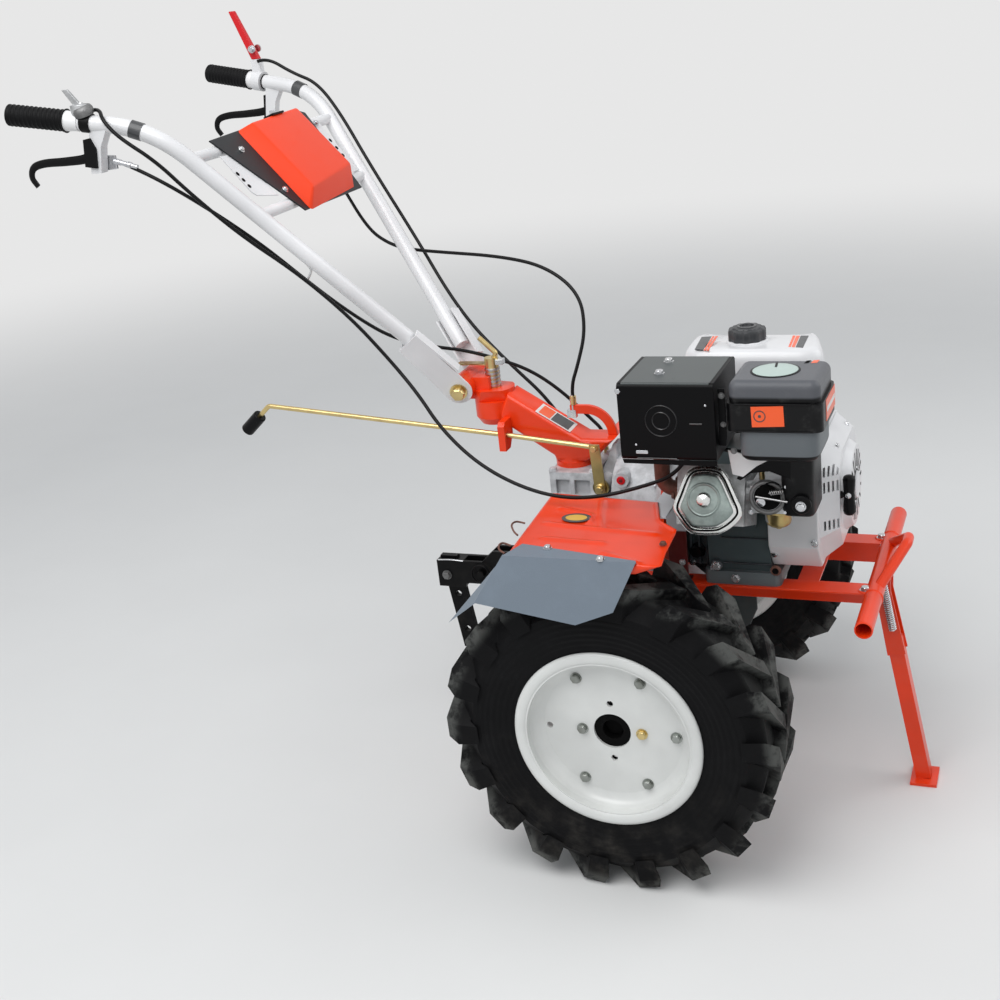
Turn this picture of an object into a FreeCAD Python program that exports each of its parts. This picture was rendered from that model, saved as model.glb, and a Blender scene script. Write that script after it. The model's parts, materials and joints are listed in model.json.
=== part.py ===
import FreeCAD, Part
import math
import os
from FreeCAD import Vector

# Petrol hand tractor on two lug wheels. Millimetres, +X forward, +Y left, +Z up, ground at z = 0.
# All places below are measured from the wheel axle in x, and from the centre plane in y.

foot_front_x = 514.0

# Wheels
tyre_r = 303.0
tyre_w = 160.0
track = 784.0
lug_h = 25.0
lug_count = 18
lug_w = 40.0
lug_sweep = 84.0
tyre_facets = 36
rim_lip_r = 168.0
rim_barrel_r = 152.0
rim_w = 140.0
rim_wall = 4.0
disc_t = 5.0
disc_recess = 34.0
hub_hole_r = 34.0
wheel_bolt_pcd = 109.0
wheel_bolt_hole_r = 6.0
rim_bolt_pcd = 233.0
hub_r = 30.0
hub_flange_r = 66.0
hub_flange_t = 8.0
hub_len = 190.0
axle_af = 32.0
journal_r = 20.0
running_gap = 0.08
seat_gap = 0.3

# Gear case, clutch bell and engine
case_r = 78.0
case_half_w = 70.0
case_front_x = 20.0
case_rear_x = -130.0
boss_r = 46.0
boss_len = 30.0
case_top_z = 600.0
turret_top_z = 645.0
nose_top_z = 704.0
shift_x = -107.0
shift_z = 617.0
crank_z = 588.0
bell_r = 88.0
bell_rear_x = -86.0
bell_flange_x = 22.0
bell_neck_r = 68.0
engine_base_z = 458.0
engine_rear_x = 48.0
crankcase_front_x = 228.0
foot_h = 26.0
recoil_x = 320.0
recoil_t = 32.0
cyl_x = 148.0
cyl_tilt = 21.0
deck_d = 118.0
head_d = 238.0
port_d = head_d - 23.0
fin_half = 60.0
fin_t = 4.0
fin_pitch = 12.0
muffler_low_z = 768.0
tank_low_z = 756.0
tank_top_z = 884.0

# Frame rails, bumper and stand
rail_y = 134.0
rail_leg = 40.0
rail_flange = 44.0
rail_t = 4.0
bumper_x = 412.0
bumper_z = 450.0
bumper_r = 16.0
bumper_wall = 2.5
bumper_half = 262.0
hoop_r = 10.0
stand_pivot_x = 415.0
stand_pivot_z = 404.0
stand_foot_x = 488.0
stand_tube = 28.0
stand_pin_r = 6.0
foot_t = 6.0

# Rear hitch
hitch_hole_r = 8.0
hitch_half = 20.0
hitch_wall = 8.0
hitch_low_z = 371.0
hitch_top_z = 421.0
hitch_end_x = -503.0
bar_lean = 0.138
bar_slot_x = -498.0
bar_w = 38.0
bar_half = 7.0

# Fenders and flaps
fender_room = 40.0
fender_z = 2 * tyre_r + fender_room
fender_t = 3.0
fender_edge_y = track / 2 + 74.0
flap_t = 3.0
flap_lean = 0.333

# Column and handlebar head
column_x = -177.0
head_x = -334.0
head_z = 778.0
collar_r = 41.0
sleeve_r = 13.7
head_bolt = Vector(-388.0, 0.0, 807.0)
ear_r = 27.0

# Handlebars
bar_r = 15.0
bar_low = Vector(-420.0, 62.0, 868.0)
bar_bend = Vector(-806.0, 300.0, 1370.0)
bar_bend_r = 200.0
bar_tip = Vector(-1078.0, 339.0, 1418.0)
socket_half = 25.0
socket_len = 75.0
socket_t = 4.0
weld = 1.0
grip_r = 19.0
grip_len = 112.0
crossbar_r = 11.0
crossbar_s = (0.65, 0.88)
post_x = -912.0
clamp_x = -944.0
post_drop = 72.0
cord_r = 3.5

# Gear shift
rod_r = 5.0
rod_guide = Vector(-298.0, -60.0, 720.0)

axle_z = tyre_r

os.makedirs("parts", exist_ok=True)


def V(x, y, z):
    return Vector(x, y, z)


def mirror(shape):
    """The same shape on the other side of the centre plane."""
    return shape.mirror(V(0, 0, 0), V(0, 1, 0))


def box(x0, x1, y0, y1, z0, z1):
    return Part.makeBox(x1 - x0, y1 - y0, z1 - z0, V(x0, y0, z0))


def rod(a, b, r):
    """A round bar from point a to point b."""
    return Part.makeCylinder(r, (b - a).Length, a, b - a)


def hollow(a, b, r, wall):
    d = (b - a).normalize()
    return rod(a, b, r).cut(rod(a - d, b + d, r - wall))


def plate_xz(points, y0, y1):
    """A side profile of x, z points, as thick as y0 to y1."""
    wire = Part.makePolygon([V(x, y0, z) for x, z in points + points[:1]])
    return Part.Face(wire).extrude(V(0, y1 - y0, 0))


def plate_xy(points, z0, z1):
    wire = Part.makePolygon([V(x, y, z0) for x, y in points + points[:1]])
    return Part.Face(wire).extrude(V(0, 0, z1 - z0))


def plate_yz(points, x0, x1):
    wire = Part.makePolygon([V(x0, y, z) for y, z in points + points[:1]])
    return Part.Face(wire).extrude(V(x1 - x0, 0, 0))


def facet(points):
    return Part.Face(Part.makePolygon(points + points[:1]))


def revolve_y(points, y_mid, z):
    """A ring about the Y axis through z, from a profile of radius, y points."""
    wire = Part.makePolygon([V(0, y_mid + y, z + r) for r, y in points + points[:1]])
    return Part.Face(wire).revolve(V(0, 0, z), V(0, 1, 0), 360)


def arc_wire(points, radii):
    """Straight runs through the points, joined by tangent arcs of the given radii."""
    edges = []
    at = points[0]
    for before, corner, after, r in zip(points, points[1:], points[2:], radii):
        u = (before - corner).normalize()
        w = (after - corner).normalize()
        half = u.getAngle(w) / 2
        back = r / math.tan(half)
        start = corner + u * back
        end = corner + w * back
        centre = corner + (u + w).normalize() * (r / math.sin(half))
        middle = centre + (corner - centre).normalize() * r
        edges.append(Part.LineSegment(at, start).toShape())
        edges.append(Part.Arc(start, middle, end).toShape())
        at = end
    edges.append(Part.LineSegment(at, points[-1]).toShape())
    return Part.Wire(edges)


def swept(points, radii, r):
    """A round bar or tube's outside, swept along runs and arcs."""
    wire = arc_wire(points, radii)
    start = points[0]
    profile = Part.Wire([Part.Circle(start, points[1] - start, r).toShape()])
    return wire.makePipeShell([profile], True, False)


def cord(route, r=cord_r):
    """A tube on straight runs with the widest arcs that fit, each leaving a tenth of its run straight."""
    points = [V(*at) for at in route]
    radii = []
    for before, corner, after in zip(points, points[1:], points[2:]):
        half = (before - corner).getAngle(after - corner) / 2
        run = min((before - corner).Length, (after - corner).Length)
        radii.append(0.45 * run * math.tan(half))
    print("cord arcs", [round(a) for a in radii])
    return swept(points, radii, r)


def rounded(shape, r, pick):
    """The shape with the edges that pick chooses rounded."""
    return shape.makeFillet(r, [e for e in shape.Edges if pick(e)])


def along(axis):
    """Chooses straight edges that run along an axis."""
    def pick(e):
        d = e.Vertexes[-1].Point - e.Vertexes[0].Point
        return d.Length > 0 and abs(abs(d.normalize().dot(axis)) - 1) < 1e-6
    return pick


X, Y, Z = V(1, 0, 0), V(0, 1, 0), V(0, 0, 1)
parts = {}


def both(name, shape):
    """A piece of the left side and its mirror image on the right."""
    parts[name + "_left"] = shape
    parts[name + "_right"] = mirror(shape)


# Wheels

def lug(side, angle):
    """One chevron bar: inner end, shoulder, and foot on the sidewall, with flat facets between."""
    half = tyre_w / 2
    crown = tyre_r - lug_h
    side_h = crown - rim_lip_r
    # y, tip radius, root radius, sweep, width
    stations = [
        (-6.0, tyre_r - 3, crown - 12, 0.0, lug_w * 0.8),
        (half - 9, tyre_r, crown - 0.2 * side_h, lug_sweep, lug_w),
        (half, tyre_r - 0.8 * lug_h, crown - 0.34 * side_h, lug_sweep + 10, lug_w * 1.1),
    ]
    rings = []
    for y, tip, root, sweep, width in stations:
        ring = []
        for r, edge in ((tip, -0.5), (tip, 0.5), (root, 0.5), (root, -0.5)):
            a = angle + (sweep + edge * width) / tyre_r
            ring.append(V(r * math.cos(a), side * y, r * math.sin(a)))
        rings.append(ring)
    faces = [facet(rings[0]), facet(rings[-1])]
    for a, b in zip(rings, rings[1:]):
        for i in range(4):
            j = (i + 1) % 4
            faces += [facet([a[i], a[j], b[j]]), facet([a[i], b[j], b[i]])]
    return closed(faces)


def closed(faces):
    """The solid inside a shell of flat faces."""
    solid = Part.makeSolid(Part.makeShell(faces))
    return solid if solid.Volume > 0 else solid.reversed()


def faceted_ring(outline, count):
    """A ring about the Y axis in flat facets, from a profile of radius, y points."""
    rings = []
    for i in range(count):
        a = 2 * math.pi * i / count
        rings.append([V(r * math.cos(a), y, r * math.sin(a)) for r, y in outline])
    faces = []
    for one, two in zip(rings, rings[1:] + rings[:1]):
        for i in range(len(outline)):
            j = (i + 1) % len(outline)
            faces.append(facet([one[i], one[j], two[j], two[i]]))
    return closed(faces)


def tyre():
    half = tyre_w / 2
    crown = tyre_r - lug_h
    side_h = crown - rim_lip_r
    seat = rim_w / 2 - rim_wall - seat_gap
    # the facets' middles, not their corners, touch the rim's barrel
    bead = (rim_barrel_r + seat_gap) / math.cos(math.pi / tyre_facets)
    # radius, y from the tyre's centre
    side = [(crown, half - 32), (crown - 0.26 * side_h, half - 5), (rim_lip_r + 0.42 * side_h, half - 4),
            (rim_lip_r + 4, seat), (bead, seat)]
    outline = side + [(r, -y) for r, y in reversed(side)]
    body = faceted_ring(outline, tyre_facets)
    pitch = 2 * math.pi / lug_count
    lugs = [lug(s, (i + (0.25 if s > 0 else 0.75)) * pitch) for i in range(lug_count) for s in (1, -1)]
    return body.multiFuse(lugs)


def rim():
    edge = rim_w / 2
    lip = [(rim_lip_r, edge), (rim_lip_r, edge - rim_wall), (rim_barrel_r, edge - rim_wall)]
    outline = lip + [(r, -y) for r, y in reversed(lip)]
    bore = rim_barrel_r - rim_wall
    outline += [(bore, -edge), (bore, edge)]
    ring = revolve_y(outline, 0, 0)
    face = edge - disc_recess
    disc = Part.makeCylinder(bore + 1, disc_t, V(0, face - disc_t, 0), Y)
    cuts = [Part.makeCylinder(hub_hole_r, 4 * disc_t, V(0, face - 2 * disc_t, 0), Y)]
    holes = [(wheel_bolt_pcd, k * 90) for k in range(4)] + [(rim_bolt_pcd, 180)]
    for pcd, deg in holes:
        a = math.radians(deg)
        at = V(pcd / 2 * math.cos(a), face - 2 * disc_t, pcd / 2 * math.sin(a))
        cuts.append(Part.makeCylinder(wheel_bolt_hole_r, 4 * disc_t, at, Y))
    return ring.fuse(disc.cut(Part.Compound(cuts)))


def hub():
    """Flanged tube that carries the disc, bored for the hexagon axle."""
    face = rim_w / 2 - disc_recess - disc_t
    shape = Part.makeCylinder(hub_flange_r, hub_flange_t, V(0, face - hub_flange_t, 0), Y)
    shape = shape.fuse(Part.makeCylinder(hub_r, hub_len, V(0, face - hub_len, 0), Y))
    bore = axle_af / math.sqrt(3) + seat_gap
    cuts = [Part.makeCylinder(bore, hub_len + 2, V(0, face - hub_len - 1, 0), Y)]
    for k in range(4):
        a = math.radians(k * 90)
        at = V(wheel_bolt_pcd / 2 * math.cos(a), face - hub_len, wheel_bolt_pcd / 2 * math.sin(a))
        cuts.append(Part.makeCylinder(wheel_bolt_hole_r, hub_len + 2, at, Y))
    return shape.cut(Part.Compound(cuts))


def half_axle():
    """Hexagon shaft with a round journal in the gear case boss."""
    end = track / 2 + rim_w / 2 - disc_recess - 20
    start = case_half_w + boss_len + 2
    r = axle_af / math.sqrt(3)
    turns = [math.radians(60 * k) for k in range(7)]
    corners = [V(r * math.cos(a), start, r * math.sin(a)) for a in turns]
    hexagon = Part.Face(Part.makePolygon(corners)).extrude(V(0, end - start, 0))
    return hexagon.fuse(Part.makeCylinder(journal_r, boss_len + 2, V(0, case_half_w, 0), Y))


def place_wheel(name, shape, offset):
    both(name, shape.translated(V(0, offset, axle_z)))


place_wheel("tyre", tyre(), track / 2)
place_wheel("rim", rim(), track / 2)
place_wheel("hub", hub(), track / 2)
place_wheel("axle", half_axle(), 0)


# Gear case and clutch bell

def gear_case():
    # x, z of the case seen from the side
    outline = [(case_r, axle_z), (56, 380), (case_front_x, 412), (case_front_x, case_top_z),
               (-204, case_top_z), (-204, 560), (case_rear_x, 480), (case_rear_x, 350), (-case_r, axle_z)]
    body = plate_xz(outline, -case_half_w, case_half_w)
    body = body.fuse(Part.makeCylinder(case_r, 2 * case_half_w, V(0, -case_half_w, axle_z), Y))
    reach = case_half_w + boss_len
    body = body.fuse(Part.makeCylinder(boss_r, 2 * reach, V(0, -reach, axle_z), Y))
    body = body.fuse(turret())
    shift_boss = rod(V(shift_x, -62, shift_z), V(shift_x, 0, shift_z), 14)
    low = case_top_z - 5
    slope = [(-117, low), (-117, 634), (-92, 690), (bell_rear_x, 690), (bell_rear_x, low)]
    gusset = plate_xz(slope, -16, 16)
    body = body.fuse(shift_boss).fuse(gusset)
    for side in (-1, 1):
        y0 = case_half_w if side > 0 else -reach - 1
        body = body.cut(Part.makeCylinder(journal_r + running_gap, boss_len + 1, V(0, y0, axle_z), Y))
    bell_room = Part.makeCylinder(bell_r + 12, 200, V(bell_rear_x, 0, crank_z), X)
    return body.cut(bell_room).removeSplitter()


def turret():
    """The casting under the column: a waist with upright ribs and a thick top plate."""
    low = case_top_z - 5
    lid_z = turret_top_z - 15
    shape = box(-203, -127, -53, 53, low, lid_z).fuse(box(-212, -118, -62, 62, lid_z, turret_top_z))
    for y0, y1 in ((-62, -50), (50, 62)):
        for x in (-212, -171, -127):
            shape = shape.fuse(box(x, x + 9, y0, y1, low, lid_z))
    for x0, x1 in ((-212, -200), (-130, -118)):
        for y in (-62, -27, 18, 53):
            shape = shape.fuse(box(x0, x1, y, y + 9, low, lid_z))
    return shape


def clutch_bell():
    cone_len = bell_flange_x - 12 - bell_rear_x
    shape = Part.makeCone(bell_r - 16, bell_r, cone_len, V(bell_rear_x, 0, crank_z), X)
    shape = shape.fuse(Part.makeCylinder(bell_r + 9, 12, V(bell_flange_x - 12, 0, crank_z), X))
    neck_len = engine_rear_x - bell_flange_x
    shape = shape.fuse(Part.makeCylinder(bell_neck_r, neck_len, V(bell_flange_x, 0, crank_z), X))
    return shape.fuse(rod(V(-62, -76, 638), V(-62, 0, 638), 15))


parts["gear_case"] = gear_case()
parts["clutch_bell"] = clutch_bell()


# Engine

def cyl_point(d, side=0.0, up=0.0):
    """A point d along the cylinder's axis from the crank, side along X, up across the axis."""
    a = math.radians(cyl_tilt)
    along_y = -d * math.cos(a) + up * math.sin(a)
    return V(cyl_x + side, along_y, crank_z + d * math.sin(a) + up * math.cos(a))


def cyl_wire(d, outline):
    return Part.makePolygon([cyl_point(d, s, u) for s, u in outline + outline[:1]])


def cyl_block(d0, d1, outline):
    """An outline of side, up points, carried along the cylinder's axis."""
    return Part.Face(cyl_wire(d0, outline)).extrude(cyl_point(d1) - cyl_point(d0))


def square(half_s, low, high):
    return [(-half_s, low), (half_s, low), (half_s, high), (-half_s, high)]


def crankcase():
    base = engine_base_z + foot_h
    low = base - crank_z
    # y, and z from the crank, seen from the front
    wide = [(-118, low), (-124, -40), (-98, 24), (-40, 102), (60, 102), (128, 62), (146, -28), (128, low)]
    narrow = [(-98, low), (-98, 32), (-50, 88), (60, 88), (100, 52), (100, low)]

    def section(points, x0, x1):
        return plate_yz([(y, crank_z + z) for y, z in points], x0, x1)

    body = section(wide, 112, crankcase_front_x).fuse(section(narrow, engine_rear_x, 112))
    body = body.fuse(cyl_block(60, deck_d, square(56, -56, 56)))
    return body.fuse(rounded(box(104, 246, -128, 128, engine_base_z, base), 12, along(Z)))


def cylinder():
    core = [(-46, -20), (-20, -46), (20, -46), (46, -20), (46, 20), (20, 46), (-20, 46), (-46, 20)]
    shape = cyl_block(deck_d, head_d, core)
    count = int((head_d - deck_d - fin_t) / fin_pitch) + 1
    fins = []
    for i in range(count):
        d = head_d - fin_t - i * fin_pitch
        fins.append(cyl_block(d, d + fin_t, square(fin_half, -52, 56)))
    # the intake and exhaust bosses
    for s0, s1 in ((40, fin_half), (-fin_half, -40)):
        fins.append(cyl_block(port_d - 20, port_d + 20, [(s0, -14), (s1, -14), (s1, 36), (s0, 36)]))
    return shape.multiFuse(fins)


def cyl_rounded(d, outline, r):
    """An outline with round corners across the cylinder's axis, as a wire."""
    axis = (cyl_point(d + 1) - cyl_point(d)).normalize()
    block = rounded(cyl_block(d, d + 1, outline), r, along(axis))
    return min(block.Faces, key=lambda f: (f.CenterOfMass - cyl_point(d)).dot(axis)).OuterWire


def head_cover():
    """Pressed cover with a wide lip, a dished face and a ring about its middle boss."""
    # side, up: narrow at the top, widest below the middle
    outline = [(-18, 64), (38, 66), (70, -12), (34, -61), (-16, -64), (-51, -20)]

    def ring(d, share, r):
        return cyl_rounded(head_d + d, [(9 + (s - 9) * share, u * share) for s, u in outline], r)

    shape = Part.makeLoft([ring(0, 1.06, 20), ring(8, 1.06, 20)], True, True)
    shape = shape.fuse(Part.makeLoft([ring(8, 0.99, 19), ring(46, 0.92, 18)], True, True))
    shape = shape.cut(Part.makeLoft([ring(39, 0.72, 14), ring(46.5, 0.8, 16)], True, True))
    for r, d in ((25, 43), (12, 52)):
        shape = shape.fuse(rod(cyl_point(head_d + 38, 9), cyl_point(head_d + d, 9), r))
    return shape


def exhaust_pipe():
    start = cyl_point(port_d, -fin_half, 11)
    bend = V(56, start.y, start.z)
    return swept([start, bend, V(bend.x, bend.y, muffler_low_z)], [22], 14)


def muffler_guard():
    return rounded(box(18, 184, -306, -140, muffler_low_z, 904), 8, along(X))


def fuel_tank():
    shape = rounded(box(62, 318, -44, 166, tank_low_z, tank_top_z), 46, along(Z))
    top = [e for e in shape.Edges if e.BoundBox.ZMin > tank_top_z - 1]
    shape = shape.makeFillet(16, top)
    seam = rounded(box(58, 322, -48, 170, 812, 816), 50, along(Z))
    return shape.fuse(seam)


def tank_bracket():
    """Bent strap that carries the tank on the crankcase and the shroud."""
    top = tank_low_z - seat_gap
    shape = box(100, 300, -30, 50, top - 4, top)
    return shape.fuse(box(100, 130, -30, 50, 690, top)).fuse(box(250, 300, -30, 50, 728, top))


def tank_cap():
    return Part.makeCylinder(33, 28, V(171, 24, tank_top_z), Z)


def air_cleaner():
    low = rounded(box(200, 358, -300, -162, 820, 868), 16, along(Z))
    top = rounded(box(204, 354, -296, -166, 868, 905), 16, along(Z))
    top = top.makeFillet(14, [e for e in top.Edges if e.BoundBox.ZMin > 904])
    return low.fuse(top)


intake_port = cyl_point(port_d, fin_half, 11)


def by_port(y0, y1, z0, z1):
    """A range of y and z measured from the intake port."""
    return intake_port.y + y0, intake_port.y + y1, intake_port.z + z0, intake_port.z + z1


def intake_elbow():
    """Air cleaner base and the moulded duct down to the carburettor."""
    base = rounded(box(214, 356, -290, -172, 776, 820 - seat_gap), 14, along(Z))
    y0, y1, z0, z1 = by_port(-45, 51, -13, 105)
    duct = rounded(box(290, 347, y0, y1, z0, z1), 16, along(Z))
    return base.fuse(duct)


def carburettor():
    body = box(222, 290 - seat_gap, *by_port(-41, 29, -25, 25))
    body = body.fuse(rod(intake_port, V(224, intake_port.y, intake_port.z), 18))
    bowl = V(262, intake_port.y - 15, intake_port.z - 47)
    return body.fuse(Part.makeCylinder(21, 24, bowl, Z)).fuse(Part.makeCylinder(5, 8, bowl - Z * 8, Z))


def fan_shroud():
    # y, z seen from the front
    outline = [(-142, 545), (-108, 494), (108, 494), (138, 545), (138, 690), (100, 728), (-70, 728),
               (-142, 650)]
    return plate_yz(outline, crankcase_front_x + seat_gap, recoil_x)


def recoil_cover():
    """Tapered housing with cooling slots down its right side and a round front."""
    # y, z seen from the front
    outline = [(-128, 560), (-96, 506), (96, 506), (128, 560), (128, 690), (86, 728), (-86, 728),
               (-128, 690)]
    mid_z = crank_z + 28
    wires = []
    for x, share in ((recoil_x, 1.0), (recoil_x + recoil_t, 0.8)):
        corners = [V(x, y * share, mid_z + (z - mid_z) * share) for y, z in outline]
        wires.append(Part.makePolygon(corners + corners[:1]))
    shape = Part.makeLoft(wires, True, True)
    front = recoil_x + recoil_t
    shape = shape.fuse(Part.makeCone(84, 74, 14, V(front, 0, mid_z), X))
    slots = []
    # z of each row's foot, and its slots' height
    for z, high in ((674, 17), (644, 20), (572, 18)):
        for x in (326, 333, 340, 347):
            slots.append(box(x, x + 3.5, -140, -96, z, z + high))
    return shape.cut(Part.Compound(slots))


def recoil_handle():
    face = recoil_x + recoil_t
    grip = rod(V(face + 15, -92, 594), V(face + 15, -92, 668), 11)
    return grip.fuse(rod(V(face, -92, 636), V(face + 15, -92, 636), 5))


parts["crankcase"] = crankcase()
parts["cylinder"] = cylinder()
parts["head_cover"] = head_cover()
parts["exhaust_pipe"] = exhaust_pipe()
parts["muffler_guard"] = muffler_guard()
parts["fuel_tank"] = fuel_tank()
parts["tank_bracket"] = tank_bracket()
parts["tank_cap"] = tank_cap()
parts["air_cleaner"] = air_cleaner()
parts["intake_elbow"] = intake_elbow()
parts["carburettor"] = carburettor()
parts["fan_shroud"] = fan_shroud()
parts["recoil_cover"] = recoil_cover()
parts["recoil_handle"] = recoil_handle()


# Frame rails, bumper, stand

def frame():
    start = -60
    top = engine_base_z
    inner = rail_y - rail_flange
    leg = box(start, bumper_x, inner, inner + rail_t, top - rail_leg, top)
    flange = box(start, bumper_x, inner, rail_y, top - rail_t, top)
    rail = leg.fuse(flange)
    shape = rail.fuse(mirror(rail))
    for x in (140, 268):
        shape = shape.fuse(box(x, x + 40, -inner, inner, top - rail_t - 4, top - rail_t))
    face = bell_flange_x + seat_gap
    neck = Part.makeCylinder(bell_neck_r + seat_gap, 30, V(face - 10, 0, crank_z), X)
    yoke = plate_yz([(-rail_y, top - rail_leg), (rail_y, top - rail_leg), (rail_y, 540), (96, 640),
                     (-96, 640), (-rail_y, 540)], face, face + 8)
    near, far = [V(bumper_x, side * (rail_y + 1), bumper_z) for side in (-1, 1)]
    return shape.fuse(yoke.cut(neck)).cut(rod(near, far, bumper_r + seat_gap))


def bumper():
    ends = [V(bumper_x, side * bumper_half, bumper_z) for side in (-1, 1)]
    tube = hollow(ends[0], ends[1], bumper_r, bumper_wall)
    points = [V(bumper_x, -112, bumper_z), V(458, -14, 508), V(458, 14, 508), V(bumper_x, 112, bumper_z)]
    hoop = swept(points, [12, 12], hoop_r)
    skin = bumper_r - bumper_wall / 2
    hoop = hoop.cut(rod(V(bumper_x, -200, bumper_z), V(bumper_x, 200, bumper_z), skin))
    ears = box(stand_pivot_x - 14, stand_pivot_x + 14, 18.3, 23, stand_pivot_z - 12, bumper_z)
    ears = ears.cut(rod(V(bumper_x, 0, bumper_z), V(bumper_x, 60, bumper_z), skin))
    ears = ears.fuse(mirror(ears))
    pin = rod(V(stand_pivot_x, -28, stand_pivot_z), V(stand_pivot_x, 28, stand_pivot_z), stand_pin_r)
    return tube.fuse(hoop).fuse(ears).fuse(pin)


def stand_leg():
    half = stand_tube / 2
    top = V(stand_pivot_x, 0, stand_pivot_z)
    foot = V(stand_foot_x, 0, foot_t)
    d = (foot - top).normalize()
    n = V(-d.z, 0, d.x)
    a = top + d * 100
    wire = Part.makePolygon([p + Y * y for p, y in ((a - n * half, -half), (a + n * half, -half))]
                            + [p + Y * y for p, y in ((a + n * half, half), (a - n * half, half))]
                            + [a - n * half - Y * half])
    tube = Part.Face(wire).extrude(foot - a)
    cheek = [top - d * 14 - n * 14, top - d * 14 + n * 14, a + d * 30 + n * 17, a + d * 30 - n * 17]
    for y0, y1 in ((-17.7, -half), (half, 17.7)):
        wire = Part.makePolygon([p + Y * y0 for p in cheek + cheek[:1]])
        tube = tube.fuse(Part.Face(wire).extrude(Y * (y1 - y0)))
    tube = tube.cut(rod(top - Y * 40, top + Y * 40, stand_pin_r + running_gap))
    plate = box(stand_foot_x - 24, foot_front_x, -34, 34, 0, foot_t)
    return tube.fuse(plate)


parts["frame"] = frame()
parts["bumper"] = bumper()
parts["stand_leg"] = stand_leg()


# Rear hitch

def lean_x(z):
    """The depth bar's rear edge at a height: the bar leans back as it rises."""
    return bar_slot_x + (hitch_top_z - z) * bar_lean


def leaning(inset, z0, z1):
    """Side profile of the depth bar, or of its slot when the inset is negative."""
    return [(lean_x(z0) + inset, z0), (lean_x(z0) + bar_w - inset, z0),
            (lean_x(z1) + bar_w - inset, z1), (lean_x(z1) + inset, z1)]


def hitch():
    """Two cheeks bolted to the rear of the gear case, with a socket for the depth bar."""
    plate_x = case_rear_x - 14
    inner = hitch_half - hitch_wall
    low, end, step_z = hitch_low_z, hitch_end_x, hitch_low_z - 10
    outline = [(end, step_z), (end + 60, step_z), (end + 64, low), (plate_x, low),
               (plate_x, hitch_top_z + 26), (-372, hitch_top_z + 26), (-400, hitch_top_z), (end, hitch_top_z)]
    cheek = plate_xz(outline, inner, hitch_half)
    shape = cheek.fuse(mirror(cheek))
    shape = shape.fuse(box(plate_x, case_rear_x, -58, 58, low - 8, hitch_top_z + 40))
    socket = box(end, end + 60, -inner - 1, inner + 1, step_z, hitch_top_z)
    bar_y = bar_half + seat_gap
    socket = socket.cut(plate_xz(leaning(-seat_gap, hitch_low_z - 20, hitch_top_z + 10), -bar_y, bar_y))
    bolt = rod(V(-400, -60, 398), V(-400, 60, 398), hitch_hole_r)
    return shape.fuse(socket).cut(bolt)


def depth_bar():
    """Flat bar with a row of holes, held in the hitch's socket."""
    shape = plate_xz(leaning(0, 212, hitch_top_z + 6), -bar_half, bar_half)
    for z in (256, 339):
        x = lean_x(z) + bar_w / 2
        shape = shape.cut(rod(V(x, -20, z), V(x, 20, z), 7))
    return shape


parts["hitch"] = hitch()
parts["depth_bar"] = depth_bar()


# Fenders and flaps

def fender():
    """Flat sheet over the tyre, with a lip folded down ahead of the flap."""
    edge = fender_edge_y
    # x, y seen from above: the rear edge, the inner edge, the front and the outer edge
    points = [(-150, edge - 6), (-165, 172), (45, 197), (72, 284), (111, 322), (116, edge - 54),
              (122, edge - 4), (100, edge), (-138, edge)]
    sheet = plate_xy(points, fender_z, fender_z + fender_t)
    lip = box(86, 118, edge - fender_t, edge, fender_z - 14, fender_z + fender_t)
    return sheet.fuse(lip)


def flap():
    """Rubber sheet bolted on the fender, bent down past the tyre, with its rear corner folded in."""
    edge = fender_edge_y
    top_z = fender_z + fender_t
    on_top = [(-135, edge - 48), (79, edge - 4), (81, edge + flap_t), (-152, edge + flap_t)]
    strip = plate_xy(on_top, top_z, top_z + flap_t)

    def hang(x, z):
        """A point of the hanging sheet, z below the fender's top."""
        return V(x, edge + 1 + (z + flap_t) * flap_lean, top_z - z)

    # x and the drop of the hanging sheet's corners
    face = [hang(x, z) for x, z in [(-153, -flap_t), (81, -flap_t), (44, 77), (-21, 101), (-203, 77)]]
    shape = strip.fuse(Part.Face(Part.makePolygon(face + face[:1])).extrude(V(0, flap_t, 0)))
    fold = [hang(-151, 0), hang(-201, 77), V(-278, edge - 16, top_z - 142)]
    return shape.fuse(Part.Face(Part.makePolygon(fold + fold[:1])).extrude(V(0, flap_t, 0)))


def fender_stay():
    """Bent strap from the rail's flange up and out to the underside of the fender."""
    foot = box(40, 76, rail_y - 30, rail_y + 4, engine_base_z, engine_base_z + 4)
    post = box(40, 76, rail_y, rail_y + 4, engine_base_z, fender_z)
    return foot.fuse(post).fuse(box(40, 76, rail_y, 262, fender_z - 4, fender_z))


both("fender", fender())
both("fender_stay", fender_stay())
both("flap", flap())


# Column and handlebar head

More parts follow.
